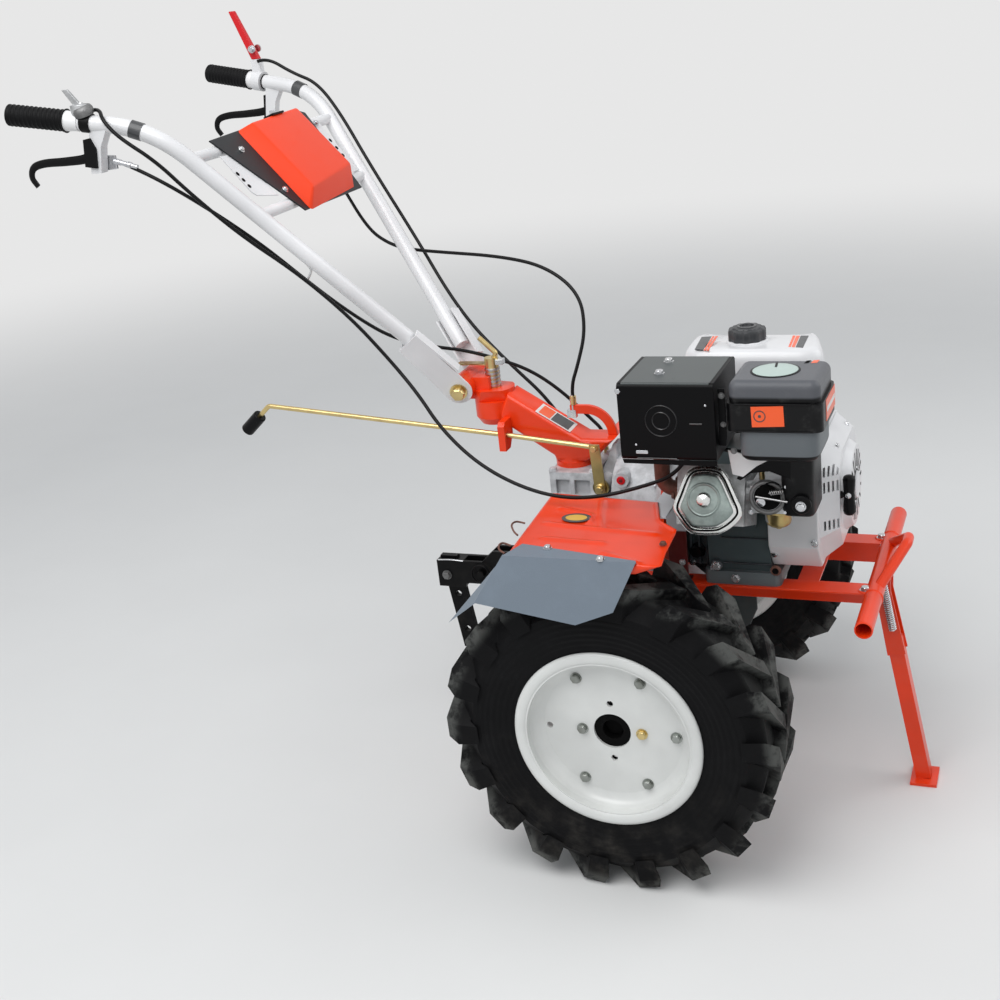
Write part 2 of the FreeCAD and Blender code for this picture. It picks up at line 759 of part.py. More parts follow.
def column():
    """Box section arm on a round foot, with the collar that the head turns in."""
    foot_z = turret_top_z
    flange = Part.makeCylinder(38, 10, V(column_x, 0, foot_z), Z)
    neck = Part.makeCone(36, 33, 30, V(column_x, 0, foot_z + 8), Z)
    # x, z of the arm's side: low end, foot, nose and collar
    outline = [(-322, 742), (-210, 668), (-206, foot_z + 12), (-146, foot_z + 12), (-121, 668),
               (-84, nose_top_z), (-150, nose_top_z), (-296, 794)]
    arm = rounded(plate_xz(outline, -34, 34), 9, lambda e: not along(Y)(e))
    room = Part.makeCylinder(collar_r + seat_gap, 60, V(head_x, 0, head_z), Z)
    collar = Part.makeCylinder(collar_r, 34, V(head_x, 0, head_z - 34), Z)
    collar = collar.fuse(Part.makeCone(collar_r - 9, collar_r, 14, V(head_x, 0, head_z - 48), Z))
    guide = plate_yz([(-74, 690), (-50, 690), (-30, 716), (-30, 748), (-66, 748), (-74, 740)], -306, -292)
    guide = guide.cut(rod(rod_guide - X * 20, rod_guide + X * 20, rod_r + 1))
    return flange.fuse(neck).fuse(arm.cut(room)).fuse(collar).fuse(guide)


def bar_axes():
    """Along a straight bar, outwards across it, and rearwards across it."""
    d = (bar_bend - bar_low).normalize()
    out = (Y - d * d.y).normalize()
    return d, out, d.cross(out)


def beyond_sockets(gap):
    """Everything outside the two inner faces of the handlebar sockets."""
    d, out, back = bar_axes()
    at = bar_low + out * (bar_r - weld - gap)
    corners = [at + d * a + back * b for a, b in ((-300, -300), (300, -300), (300, 300), (-300, 300))]
    slab = Part.Face(Part.makePolygon(corners + corners[:1])).extrude(out * 200)
    return slab.fuse(mirror(slab))


def swivel_head():
    shape = Part.makeCylinder(collar_r, 22, V(head_x, 0, head_z + seat_gap), Z)
    shape = shape.fuse(box(head_bolt.x, head_x, -26, 26, 782, 826))
    shape = shape.fuse(rod(head_bolt - Y * 90, head_bolt + Y * 90, ear_r))
    bore = rod(V(head_x, 0, 700), V(head_x, 0, 900), sleeve_r + seat_gap)
    return shape.cut(beyond_sockets(seat_gap)).cut(bore)


def head_clamp():
    """Sleeve of the swivel lock with its bent lever."""
    sleeve = Part.makeCylinder(sleeve_r, 82, V(head_x, 0, head_z), Z)
    bent = [V(head_x + x, 0, head_z + z) for x, z in ((0, 72), (12, 90), (-21, 122))]
    lever = swept(bent, [6], 5)
    strap = box(head_x - 71, head_x + 8, -9, 9, head_z + 68, head_z + 71)
    return sleeve.fuse(lever).fuse(strap)


parts["column"] = column()
parts["swivel_head"] = swivel_head()
parts["head_clamp"] = head_clamp()


# Handlebars

def on_bar(x, drop=0.0):
    """The centre of the left grip run at x, or a point that far below it."""
    share = (x - bar_bend.x) / (bar_tip.x - bar_bend.x)
    return bar_bend + (bar_tip - bar_bend) * share - Z * drop


def handlebar():
    """Bent tube, the open socket that bolts to the head, and the lever post under the grip."""
    tube = swept([bar_low, bar_bend, bar_tip], [bar_bend_r], bar_r)
    d, out, back = bar_axes()
    at = bar_low + out * (bar_r - weld)
    reach = (at - head_bolt).dot(out) / out.y
    bolt = head_bolt + Y * reach
    s, w = (bolt - at).dot(d), (bolt - at).dot(back)
    corners = [(socket_len, -socket_half), (socket_len, socket_half), (s, w + ear_r), (s, w - ear_r)]
    web = [at + d * a + back * b for a, b in corners]
    socket = Part.Face(Part.makePolygon(web + web[:1])).extrude(out * socket_t)
    socket = socket.fuse(rod(bolt, bolt + out * socket_t, ear_r))
    for b0, b1 in ((-socket_half, -socket_half + socket_t), (socket_half - socket_t, socket_half)):
        span = [(-35, b0), (socket_len, b0), (socket_len, b1), (-35, b1)]
        edge = [at - out * 18 + d * a + back * b for a, b in span]
        socket = socket.fuse(Part.Face(Part.makePolygon(edge + edge[:1])).extrude(out * (18 + socket_t)))
    top = on_bar(post_x)
    post = plate_xz([(top.x + 26, top.z - 8), (top.x - 12, top.z - 8), (top.x - 26, top.z - post_drop - 14),
                     (top.x - 4, top.z - post_drop - 14), (top.x + 6, top.z - 40)], top.y - 10, top.y + 10)
    return tube.fuse(socket).fuse(post)


def grip():
    d = (bar_tip - bar_bend).normalize()
    start = bar_tip - d * grip_len
    return rod(start, bar_tip + d * 2, grip_r).cut(rod(start - d, bar_tip, bar_r + 0.2))


def hand_lever():
    """Pivot block behind the post, and the lever that curves back under the grip."""
    top = on_bar(post_x)
    face = top.x - 21
    z = top.z - post_drop + 12
    block = box(face - 26, face, top.y - 9, top.y + 9, z - 20, z + 20)
    block = block.cut(handlebar_post_room(top))
    lever = swept([V(face - 14, top.y, z), V(-1020, top.y + 10, z - 8), V(-1076, 330, z - 18)], [60], 6)
    return block.fuse(lever)


def handlebar_post_room(top):
    """The space of the post and a seat's gap, that the pivot block is cut back to."""
    low = top.z - post_drop - 14
    face = top.x - 12 - seat_gap
    return plate_xz([(top.x + 40, top.z), (face, top.z), (face, top.z - 8), (face - 14, low),
                     (top.x + 40, low)], top.y - 20, top.y + 20)


def crossbar(share):
    """A round bar welded between the two tubes, that share of the way up their straight run."""
    end = bar_low + (bar_bend - bar_low) * share
    bar = rod(V(end.x, -end.y, end.z), end, crossbar_r)
    tube = rod(bar_low, bar_bend, bar_r + seat_gap)
    return bar.cut(tube).cut(mirror(tube)).Solids[0]


both("handlebar", handlebar())
both("grip", grip())
both("hand_lever", hand_lever())
parts["crossbars"] = Part.Compound([crossbar(share) for share in crossbar_s])


# Tool box between the bars

def on_bars(s, y, n):
    """A point s up the bars' plane from its middle, y across it and n above it."""
    low, high = [bar_low + (bar_bend - bar_low) * share for share in crossbar_s]
    up = V(high.x - low.x, 0, high.z - low.z).normalize()
    return V(low.x, y, low.z) + up * s + V(up.z, 0, -up.x) * n


def bars_block(outline, y0, y1):
    """An outline of s, n points in the bars' plane, extruded from y0 to y1."""
    wire = Part.makePolygon([on_bars(s, y0, n) for s, n in outline + outline[:1]])
    return Part.Face(wire).extrude(Y * (y1 - y0))


plate_n = crossbar_r
plate_top_n = plate_n + 4.0


def box_plate():
    return bars_block([(-30, plate_n), (190, plate_n), (190, plate_top_n), (-30, plate_top_n)], -110, 150)


def tool_box():
    """Lidded box, its upper end lower than its ridge."""
    outline = [(-20, plate_top_n), (162, plate_top_n), (162, plate_top_n + 22), (20, plate_top_n + 46),
               (-20, plate_top_n + 30)]
    return bars_block(outline, -80, 100)


def box_straps():
    """The two flat straps that tie the crossbars beside the plate."""
    straps = []
    outline = [(-8, plate_n), (150, plate_n), (150, plate_top_n), (-8, plate_top_n)]
    for y0, y1 in ((-158, -120), (172, 196)):
        straps.append(bars_block(outline, y0, y1))
    return Part.Compound(straps)


parts["box_plate"] = box_plate()
parts["tool_box"] = tool_box()
parts["box_straps"] = box_straps()


# Hand controls

def throttle_lever():
    """Thumb lever on a round housing, banded on top of the right grip run."""
    at = on_bar(-938)
    at.y = -at.y
    low = at + Z * (bar_r + seat_gap)
    hub = rod(low, low + Z * 16, 17)
    tip = V(-962, -320, 1452)
    arm = Part.makeLoft([square_wire(low + Z * 10, 8, 3), square_wire(tip, 6, 3)], True, True)
    bar = rod(V(bar_bend.x, -bar_bend.y, bar_bend.z), V(bar_tip.x, -bar_tip.y, bar_tip.z), bar_r + seat_gap)
    return hub.fuse(arm).cut(bar)


def square_wire(at, half_x, half_y):
    signs = ((-1, -1), (1, -1), (1, 1), (-1, 1))
    corners = [V(at.x + a * half_x, at.y + b * half_y, at.z) for a, b in signs]
    return Part.makePolygon(corners + corners[:1])


def reverse_clamp():
    """Zinc clamp on the left grip run that carries the red lever."""
    d = (bar_tip - bar_bend).normalize()
    at = on_bar(clamp_x)
    ring = rod(at - d * 11, at + d * 11, bar_r + 6).cut(rod(at - d * 12, at + d * 12, bar_r + 0.1))
    stem = box(at.x - 10, at.x + 10, at.y - 9, at.y + 9, at.z + bar_r + 2, at.z + 46)
    return ring.fuse(stem)


def reverse_lever():
    at = on_bar(clamp_x)
    foot, tip = at + Z * 46, V(-986, 320, 1543)
    return Part.makeLoft([square_wire(foot, 9, 7), square_wire(tip, 7, 5)], True, True)


parts["throttle_lever"] = throttle_lever()
parts["reverse_clamp"] = reverse_clamp()
parts["reverse_lever"] = reverse_lever()


# Gear shift

def gear_rod():
    pin = V(-113, -60, 698)
    bent = V(-812, -75, 778)
    shape = swept([pin, rod_guide, bent, V(-836, -75, 757)], [400, 12], rod_r)
    return shape.fuse(rod(pin, pin - Y * 5, rod_r))


def gear_knob():
    return rod(V(-836, -75, 757), V(-875, -75, 723), 14)


def gear_link():
    """Flat lever from the rod down to the shift shaft in its boss."""
    top, low = shift_z + 89, shift_z - 11
    shape = plate_xz([(-123, top), (-103, top), (-96, low), (-118, low)], -70, -65)
    return shape.fuse(rod(V(shift_x, -66, shift_z), V(shift_x, -62, shift_z), 11))


def clutch_arm():
    """Flat bar that curves up from the column's nose and back, with the cable's end on its tip."""
    centre = V(-146, 0, nose_top_z)
    ring = Part.makeCylinder(60, 8, centre - Y * 4, Y).cut(Part.makeCylinder(42, 10, centre - Y * 5, Y))
    arm = ring.common(box(centre.x, centre.x + 60, -8, 8, centre.z, centre.z + 60))
    return arm.fuse(box(centre.x - 32, centre.x, -4, 4, centre.z + 42, centre.z + 60))


def stop_fittings():
    """Small zinc ends that the cables seat in."""
    arm_z = nose_top_z + 60
    stops = [rod(V(-171, 0, arm_z), V(-171, 0, arm_z + 18), 6)]
    for x in (-206, -130):
        stops.append(rod(V(x, 54, turret_top_z), V(x, 54, turret_top_z + 14), 5))
    foot = V(236, intake_port.y - 6, intake_port.z + 25)
    stops.append(rod(foot, foot + Z * 14, 5))
    return Part.Compound(stops)


parts["gear_rod"] = gear_rod()
parts["gear_knob"] = gear_knob()
parts["gear_link"] = gear_link()
parts["clutch_arm"] = clutch_arm()
parts["stop_fittings"] = stop_fittings()


# Control cables: x, y, z of the points from each lever to its stop
cable_clutch = [
    (-896, 300, 1318), (-870, 296, 1308), (-800, 262, 1262), (-737, 230, 1183), (-662, 185, 1088),
    (-607, 165, 1058), (-562, 168, 1044), (-485, 150, 1040), (-341, 120, 1034), (-235, 90, 1018),
    (-160, 62, 970), (-146, 38, 902), (-160, 12, 838), (-171, 0, 804), (-171, 0, nose_top_z + 78)
]
cable_far = [
    (-934, 306, 1436), (-910, 308, 1442), (-850, 302, 1406), (-795, 304, 1382), (-732, 273, 1316),
    (-656, 224, 1216), (-550, 188, 1058), (-480, 146, 964), (-420, 114, 900), (-365, 88, 856),
    (-310, 72, 810), (-258, 62, 766), (-216, 56, 712), (-206, 54, 680), (-206, 54, turret_top_z + 14)
]
cable_near = [
    (-896, -300, 1318), (-876, -298, 1312), (-789, -280, 1258), (-690, -210, 1150), (-612, -150, 1040),
    (-560, -100, 968), (-512, -62, 918), (-452, -20, 888), (-396, 10, 872), (-330, 24, 850),
    (-268, 42, 820), (-212, 56, 772), (-160, 60, 716), (-130, 54, 690), (-130, 54, turret_top_z + 14)
]
cable_throttle = [
    (-921, -303, 1412), (-902, -311, 1413), (-882, -337, 1396), (-855, -336, 1364), (-800, -318, 1317),
    (-762, -285, 1251), (-702, -236, 1162), (-622, -196, 1082), (-540, -170, 990), (-480, -150, 901),
    (-419, -170, 839), (-371, -190, 777), (-299, -210, 719), (-216, -225, 681), (-130, -235, 663),
    (-46, -240, 670), (42, -228, 693), (83, -226, 710), (112, -224, 744), (150, -214, 758),
    (200, -205, 752), (236, intake_port.y - 6, intake_port.z + 67),
    (236, intake_port.y - 6, intake_port.z + 39)
]

parts["cable_clutch"] = cord(cable_clutch)
parts["cable_far"] = cord(cable_far)
parts["cable_near"] = cord(cable_near)
parts["cable_throttle"] = cord(cable_throttle)


# The origin goes to the middle of the footprint, on the ground
reach = Part.Compound(list(parts.values())).optimalBoundingBox()
origin_shift = -(reach.XMin + reach.XMax) / 2
print("axle at x =", origin_shift)

for name, shape in parts.items():
    shape.translated(V(origin_shift, 0, 0)).exportStep("parts/" + name + ".step")
    print(name, len(shape.Solids), shape.isValid(), round(shape.Volume / 1000))
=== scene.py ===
import bpy
import bmesh
import json
import numpy as np
from math import cos, pi, radians, sin
from mathutils import Matrix


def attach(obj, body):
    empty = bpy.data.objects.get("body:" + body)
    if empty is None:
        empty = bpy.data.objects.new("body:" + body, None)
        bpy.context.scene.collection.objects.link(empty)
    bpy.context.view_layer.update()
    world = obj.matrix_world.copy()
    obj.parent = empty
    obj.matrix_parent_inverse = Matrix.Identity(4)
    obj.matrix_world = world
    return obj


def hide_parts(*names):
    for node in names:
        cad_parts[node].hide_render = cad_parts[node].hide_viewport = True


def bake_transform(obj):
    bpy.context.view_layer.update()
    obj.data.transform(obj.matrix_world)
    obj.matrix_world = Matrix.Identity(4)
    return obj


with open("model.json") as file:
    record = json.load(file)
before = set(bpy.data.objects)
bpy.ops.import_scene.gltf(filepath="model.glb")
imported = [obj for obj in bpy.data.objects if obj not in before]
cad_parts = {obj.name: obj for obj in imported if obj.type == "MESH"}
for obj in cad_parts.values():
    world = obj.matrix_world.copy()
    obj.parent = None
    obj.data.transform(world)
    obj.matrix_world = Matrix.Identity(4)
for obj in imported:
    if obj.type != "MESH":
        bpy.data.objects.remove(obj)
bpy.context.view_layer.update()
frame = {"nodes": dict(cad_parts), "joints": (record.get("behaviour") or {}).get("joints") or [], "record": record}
axleX = next(j for j in frame["joints"] if j["name"] == "wheel_left_spin")["pos_m"][0]
axleHeight = 303
slotOf = {s["node"]: s["material_slot"] for s in frame["record"]["subparts"]}
bodyOf = {n: b for b, ns in frame["record"]["behaviour"]["bodies"].items() for n in ns}
ways = {"x": (1, 0, 0), "X": (-1, 0, 0), "y": (0, 1, 0), "Y": (0, -1, 0), "z": (0, 0, 1), "Z": (0, 0, -1)}
sides = (1, "left", "y"), (-1, "right", "Y")  # the sign of y, the name and the way outwards


def spot(x, y, z):  # millimetres from the wheel axle and the centre plane, to metres in the frame
    return np.stack(np.broadcast_arrays(axleX + x / 1000, y / 1000, z / 1000), -1)


def spots(points):
    return spot(*np.array(points, float).T)


def feed(tree, into, value):
    if isinstance(value, Wire):
        tree.links.new(value.socket, into)
    elif value is not None:
        into.default_value = value


def sign(operation, swapped=False):
    # a method that adds one Math node, whose values change places where they are swapped
    return lambda self, *others: self.maths(operation, *(others + (self,) if swapped else (self,) + others))


class Wire:
    # one output of a node, and the signs that add a Math node to it
    def __init__(self, tree, socket):
        self.tree, self.socket = tree, socket

    def maths(self, operation, *values):
        made = self.tree.nodes.new("ShaderNodeMath")
        made.operation = operation
        for into, value in zip(made.inputs, values):
            feed(self.tree, into, value)
        return Wire(self.tree, made.outputs[0])

    __add__, __radd__ = sign("ADD"), sign("ADD", True)
    __sub__, __rsub__ = sign("SUBTRACT"), sign("SUBTRACT", True)
    __mul__, __rmul__ = sign("MULTIPLY"), sign("MULTIPLY", True)
    __pow__, most, wave = sign("POWER"), sign("MAXIMUM"), sign("SINE")


class Finish:
    # one material: its shader, and one way to add any node
    def __init__(self, name, **fixed):
        self.material = bpy.data.materials.new(name)
        self.material.use_nodes = True
        self.tree = self.material.node_tree
        self.shader = self.tree.nodes["Principled BSDF"]
        self.put(**fixed)
        self.place = self.node("TexCoord", out="Object")

    def put(self, **sockets):
        for socket, value in sockets.items():
            feed(self.tree, self.shader.inputs[socket.replace("_", " ")], value)
        return self.material

    def node(self, kind, settings=None, values=None, out=0):
        made = self.tree.nodes.new("ShaderNode" + kind)
        for key, value in (settings or {}).items():
            setattr(made, key, value)
        for key, value in (values or {}).items():
            feed(self.tree, made.inputs[key], value)
        return Wire(self.tree, made.outputs[out])

    def noise(self, scale, detail=2.0, rough=0.5, at=None):
        return self.node("TexNoise", None, {"Vector": at or self.place, "Scale": scale, "Detail": detail,
                                            "Roughness": rough})

    def cells(self, scale):
        return self.node("TexVoronoi", {"feature": "F1"}, {"Vector": self.place, "Scale": scale})

    def ramp(self, value, low, high):  # 0 below low, 1 above high, smooth between
        return self.node("MapRange", {"interpolation_type": "SMOOTHSTEP"},
                         {"Value": value, "From Min": low, "From Max": high})

    def stretched(self, x, y, z):
        return self.node("Mapping", None, {"Vector": self.place, "Scale": (x, y, z)})

    def axis(self, name):
        return self.node("SeparateXYZ", None, {"Vector": self.place}, out=name)

    def mix(self, share, a, b):  # a colour is another mix, or its red, green and blue
        a, b = (c if isinstance(c, Wire) else (*c, 1) for c in (a, b))
        return self.node("Mix", {"data_type": "RGBA"}, {0: share, 6: a, 7: b}, out=2)

    def bump(self, height, distance, strength=1.0, under=None):
        return self.node("Bump", None, {"Height": height, "Distance": distance, "Strength": strength,
                                        "Normal": under})


def times(colour, factor, lift=0.0):
    return tuple(min(c * factor + lift, 1) for c in colour)


def dusty(finish, colour, amount, top=0.62, spread=0.35):
    # road dust: thick near the ground, gone above top metres, broken up by noise
    z = finish.axis("Z")
    low = 1 - finish.ramp(z + (finish.noise(9, 3) - 0.5) * 0.3, top - spread, top)
    mask = finish.ramp(finish.noise(26, 6, 0.65), 0.4, 0.9) * low * amount
    return finish.mix(mask, colour, (0.27, 0.245, 0.21)), mask


def paint(name, colour, rough=0.28, coat=0.55, peel=0.00006, dust=0.5, chips=0.7, under=(0.05, 0.045, 0.04),
          gloss=0.5, zones=()):
    # sprayed enamel: faint orange peel, uneven tone, a few chips and scuffs, road dust low down
    f = Finish(name, Coat_Weight=coat, Coat_Roughness=0.12, Specular_IOR_Level=gloss)
    body = f.mix(f.ramp(f.noise(5, 3, 0.6), 0.35, 0.7), times(colour, 0.86), colour)
    for share, other in zones:
        body = f.mix(share(f), body, other)
    chip = f.ramp(f.noise(170, 3, 0.6), chips, chips + 0.03) * f.ramp(f.noise(14, 2), 0.56, 0.66)
    scuff = f.ramp(f.noise(60, 4, 0.7, f.stretched(1, 1, 0.15)), 0.6, 0.75) * f.ramp(f.noise(11, 2), 0.5, 0.7)
    body, mask = dusty(f, f.mix(chip, body, under), dust)
    skin = f.bump(chip * -1.0, 0.0002, 0.6, f.bump(f.noise(420, 2), peel))
    return f.put(Base_Color=body, Roughness=scuff * 0.18 + mask * 0.4 + chip * 0.3 + rough, Normal=skin)


def castMetal(name, colour, metallic=0.85, rough=0.45, grain=0.0005, dust=0.5):
    # sand-cast alloy: pitted skin, blotchy oxide, dust in the low parts
    f = Finish(name, Metallic=metallic)
    blotch = f.ramp(f.noise(28, 5, 0.6), 0.35, 0.7)
    body, mask = dusty(f, f.mix(blotch, times(colour, 0.62), colour), dust, top=0.75)
    pits = f.noise(520, 3, 0.7) + f.cells(900) * 0.4
    return f.put(Base_Color=body, Roughness=blotch * -0.12 + mask * 0.3 + rough + 0.06,
                 Normal=f.bump(pits, grain))


def plated(name, colour, rough=0.25, tint=(0.55, 0.42, 0.2)):
    # zinc or chrome plating: bright, with a drifting tint and fine drawn lines
    f = Finish(name, Metallic=1.0)
    body = f.mix(f.ramp(f.noise(34, 3), 0.3, 0.75), colour, tint)
    stain = f.ramp(f.noise(120, 4, 0.7), 0.55, 0.8)
    body = f.mix(stain * 0.35, body, (0.2, 0.17, 0.13))
    lines = f.noise(900, 2, 0.5, f.stretched(1, 0.2, 1))
    return f.put(Base_Color=body, Roughness=stain * 0.25 + rough, Normal=f.bump(lines, 0.00005))


def moulded(name, colour, rough=0.5, coat=0.0, dust=0.35, gloss=0.5):
    # moulded plastic: fine texture, handling shine, faint dust film
    f = Finish(name, Coat_Weight=coat, Coat_Roughness=0.2, Specular_IOR_Level=gloss)
    tone = f.noise(7, 3, 0.6)
    film = f.ramp(f.noise(33, 5, 0.7), 0.5, 0.8)
    body = f.mix(film * dust, colour, times(colour, 1.5, 0.004))
    return f.put(Base_Color=body, Roughness=tone * 0.16 + film * 0.1 + rough - 0.08,
                 Normal=f.bump(f.noise(1400, 2), 0.00012))


def rubberSkin(name, colour, rough, dust, wear, gloss):
    # moulded rubber: matt, with dust rubbed into it and paler worn places
    f = Finish(name, Specular_IOR_Level=gloss)
    worn = f.ramp(f.noise(16, 6, 0.7), 0.45, 0.75)
    body, mask = dusty(f, f.mix(worn * wear, colour, times(colour, 2.1, 0.006)), dust, top=0.8, spread=0.6)
    return f.put(Base_Color=body, Roughness=mask * 0.2 + worn * 0.12 + rough,
                 Normal=f.bump(f.noise(650, 3, 0.6), 0.0003))


def tyreSkin():
    # rings moulded in the sidewall by the distance from the axle, greyed lug tips, dust low down
    f = Finish("tyreRubber", Specular_IOR_Level=0.1)
    x, z = f.axis("X") - axleX, f.axis("Z") - axleHeight / 1000
    radius = (x * x + z * z) ** 0.5
    sidewall = f.ramp(radius, 0.172, 0.18) * (1 - f.ramp(radius, 0.235, 0.242))
    rings = (radius * (2 * pi / 0.011)).wave() * sidewall
    worn = f.ramp(f.noise(16, 6, 0.7), 0.45, 0.75)
    body = f.mix(worn * 0.5, (0.0035, 0.0035, 0.004), (0.011, 0.011, 0.012))
    tips = f.ramp(radius, 0.27, 0.296) * f.ramp(f.noise(13, 5, 0.7), 0.42, 0.6)
    body = f.mix(tips * 0.8, body, (0.105, 0.108, 0.102))
    body, mask = dusty(f, body, 0.16, top=0.3, spread=0.3)
    skin = f.bump(rings, 0.0006, 0.8, f.bump(f.noise(500, 3, 0.6), 0.0003))
    return f.put(Base_Color=body, Roughness=mask * 0.2 + worn * 0.12 + tips * 0.1 + 0.56, Normal=skin)


def twoTone(name, lower, upper, height, rough=0.42, soft=0.0008):
    # one colour below a height and another above it: two mouldings that meet there, and on the air cleaner a
    # painted sky reflection on its sloping top above the black band
    f = Finish(name, Specular_IOR_Level=0.22)
    share = f.ramp(f.axis("Z"), height - soft, height + soft)
    film = f.ramp(f.noise(33, 5, 0.7), 0.5, 0.8)
    body = f.mix(film * 0.08, f.mix(share, lower, upper), (0.3, 0.3, 0.29))
    return f.put(Base_Color=body, Roughness=f.noise(7, 3, 0.6) * 0.14 + film * 0.1 + rough - 0.07,
                 Normal=f.bump(f.noise(1200, 2), 0.00012))


# the fender stays' dark red is painted shade on orange steel; above the height they take the engine case's pale
# grey
stayZones = [(lambda f: f.ramp(f.axis("Z"), 0.564, 0.568), (0.5, 0.51, 0.53))]  # pale above this height
finishes = {
    "rubber_tyre": tyreSkin(),
    "rim_white": paint("rimEnamel", (0.74, 0.75, 0.73), 0.34, 0.25, 0.0001, 0.1, 0.74, (0.34, 0.33, 0.31)),
    "orange": paint("orangeEnamel", (0.86, 0.046, 0.004), 0.32, 0.22, dust=0.1, gloss=0.3, chips=0.73),
    "white": paint("whiteEnamel", (0.78, 0.78, 0.79), 0.32, 0.35, dust=0.08, chips=0.75,
                   under=(0.4, 0.39, 0.38)),
    "black_paint": paint("blackEnamel", (0.0022, 0.0022, 0.0027), 0.38, 0.0, dust=0.05, chips=0.76,
                         under=(0.07, 0.068, 0.066), gloss=0.12),
    "case_white": castMetal("paintedCase", (0.66, 0.67, 0.69), 0.1, 0.4, 0.0004, 0.25),
    "grey_case": castMetal("darkCase", (0.06, 0.07, 0.08), 0.3, 0.42, dust=0.15),
    "cast": castMetal("castAlloy", (0.6, 0.61, 0.62), dust=0.2),
    "iron": castMetal("paintedIron", (0.16, 0.165, 0.17), 0.5, 0.5, dust=0.3),
    "steel": plated("bareSteel", (0.5, 0.5, 0.51), 0.3, (0.42, 0.41, 0.4)),
    "zinc": plated("yellowZinc", (0.66, 0.52, 0.24), 0.28),
    "chrome": plated("brightCover", (0.66, 0.69, 0.67), 0.24, (0.5, 0.53, 0.48)),
    "black_plastic": moulded("blackPlastic", (0.0025, 0.0025, 0.003), 0.36, dust=0.12, gloss=0.14),
    "grey_plastic": moulded("greyPlastic", (0.11, 0.12, 0.13), 0.45, dust=0.2),
    "white_plastic": moulded("whitePlastic", (0.78, 0.78, 0.78), 0.3, 0.3),
    "orange_plastic": moulded("orangePlastic", (0.86, 0.05, 0.006), 0.36, 0.12, 0.08, 0.32),
    "red_plastic": moulded("redPlastic", (0.6, 0.009, 0.014), 0.3, 0.15, 0.1, 0.3),
    "grip_rubber": rubberSkin("gripRubber", (0.004, 0.004, 0.0045), 0.5, 0.1, 0.4, 0.12),
    "flap_rubber": rubberSkin("flapRubber", (0.155, 0.19, 0.23), 0.5, 0.06, 0.08, 0.4),
    "cable": moulded("cableSheath", (0.003, 0.003, 0.0035), 0.35, dust=0.12, gloss=0.2),
    # finishes of small pieces
    "silverZinc": plated("silverZinc", (0.66, 0.67, 0.68), 0.24, (0.56, 0.57, 0.6)),
    "dullSteel": plated("dullSteel", (0.36, 0.38, 0.36), 0.34, (0.22, 0.23, 0.21)),
    "brass": plated("brassBowl", (0.5, 0.38, 0.16), 0.34, (0.36, 0.28, 0.12)),
    "rust": castMetal("heatedPipe", (0.2, 0.085, 0.06), 0.35, 0.55, 0.0008, 0.2),
    # dark cast alloy: darkened as painted shade for the carburettor horn in its recess; the same dark on the
    # bracket and hitch bolts and the throttle housing
    "darkCast": castMetal("sootyAlloy", (0.2, 0.2, 0.2), 0.7, 0.48, dust=0.2),
    # black: painted shade in holes, slots, the rocker groove, the carburettor throat and the wheel hubs, and the
    # air cleaner's black decal stripe
    "shadowBlack": moulded("openingBlack", (0.002, 0.002, 0.002), 0.7, dust=0.05, gloss=0.08),
    "decalOrange": moulded("decalOrange", (0.9, 0.1, 0.012), 0.3, 0.3, 0.05),
    "decalWhite": moulded("decalWhite", (0.74, 0.72, 0.7), 0.35, 0.2, 0.05),
    "decalGrey": moulded("decalGrey", (0.045, 0.047, 0.05), 0.35, 0.2, 0.1),
    "decalYellow": moulded("decalYellow", (0.7, 0.42, 0.05), 0.35, 0.2, 0.05),
    "dialGreen": moulded("dialGreen", (0.42, 0.52, 0.48), 0.35, 0.2, 0.3),
    "greyBlack": paint("greyBlackEnamel", (0.02, 0.022, 0.025), 0.4, 0.0, dust=0.1, gloss=0.3),
    "darkRed": paint("darkRedEnamel", (0.16, 0.012, 0.012), 0.4, 0.2, dust=0.1),
    "blackBead": paint("blackBead", (0.02, 0.02, 0.021), 0.3, 0.3, dust=0.1),
    "capShell": moulded("capShell", (0.03, 0.032, 0.035), 0.42, dust=0.3),
    # the air cleaner's grey upper tone is a painted sky reflection on its sloping top; below the height is the
    # cover's own black
    "cleanerShell": twoTone("cleanerShell", (0.003, 0.003, 0.0035), (0.1, 0.104, 0.115), 0.8775, 0.32, 0.003),
    "caseTone": twoTone("caseTone", (0.13, 0.15, 0.155), (0.07, 0.092, 0.096), 0.4845, 0.4),
    # dark grey: painted sky reflection on the exhaust guard's black top, and the mud shield's own grey
    "guardGrey": paint("guardGrey", (0.055, 0.065, 0.065), 0.34, 0.0, dust=0.0, gloss=0.4),
    "coverPanel": castMetal("coverPanel", (0.33, 0.39, 0.37), 0.7, 0.32, 0.0002, 0.0),
    "coverSilver": plated("coverSilver", (0.82, 0.83, 0.82), 0.24, (0.68, 0.7, 0.68)),
    "stayTone": paint("stayEnamel", (0.11, 0.009, 0.008), 0.35, 0.1, dust=0.1, gloss=0.3, zones=stayZones),
    "ductShell": twoTone("ductShell", (0.003, 0.003, 0.0035), (0.13, 0.145, 0.155), 0.7768, 0.4),
}
print("finishes made")


# a shape below is its points and its faces
def gridFaces(rows, columns, closed=True):
    # quads between neighbouring rows; closed joins the last column to the first
    i, j = np.meshgrid(np.arange(rows - 1), np.arange(columns if closed else columns - 1), indexing="ij")
    k, i = (j + 1) % columns, i * columns
    return np.stack([i + j, i + k, i + columns + k, i + columns + j], -1).reshape(-1, 4)


def loft(rings, caps=True):
    # rings[row, column] are points of closed outlines, skinned in order, ends closed by flat caps
    rows, columns = rings.shape[:2]
    faces = gridFaces(rows, columns).tolist()
    if caps:
        faces += [list(range(columns))[::-1], list(range((rows - 1) * columns, rows * columns))]
    return rings.reshape(-1, 3), faces


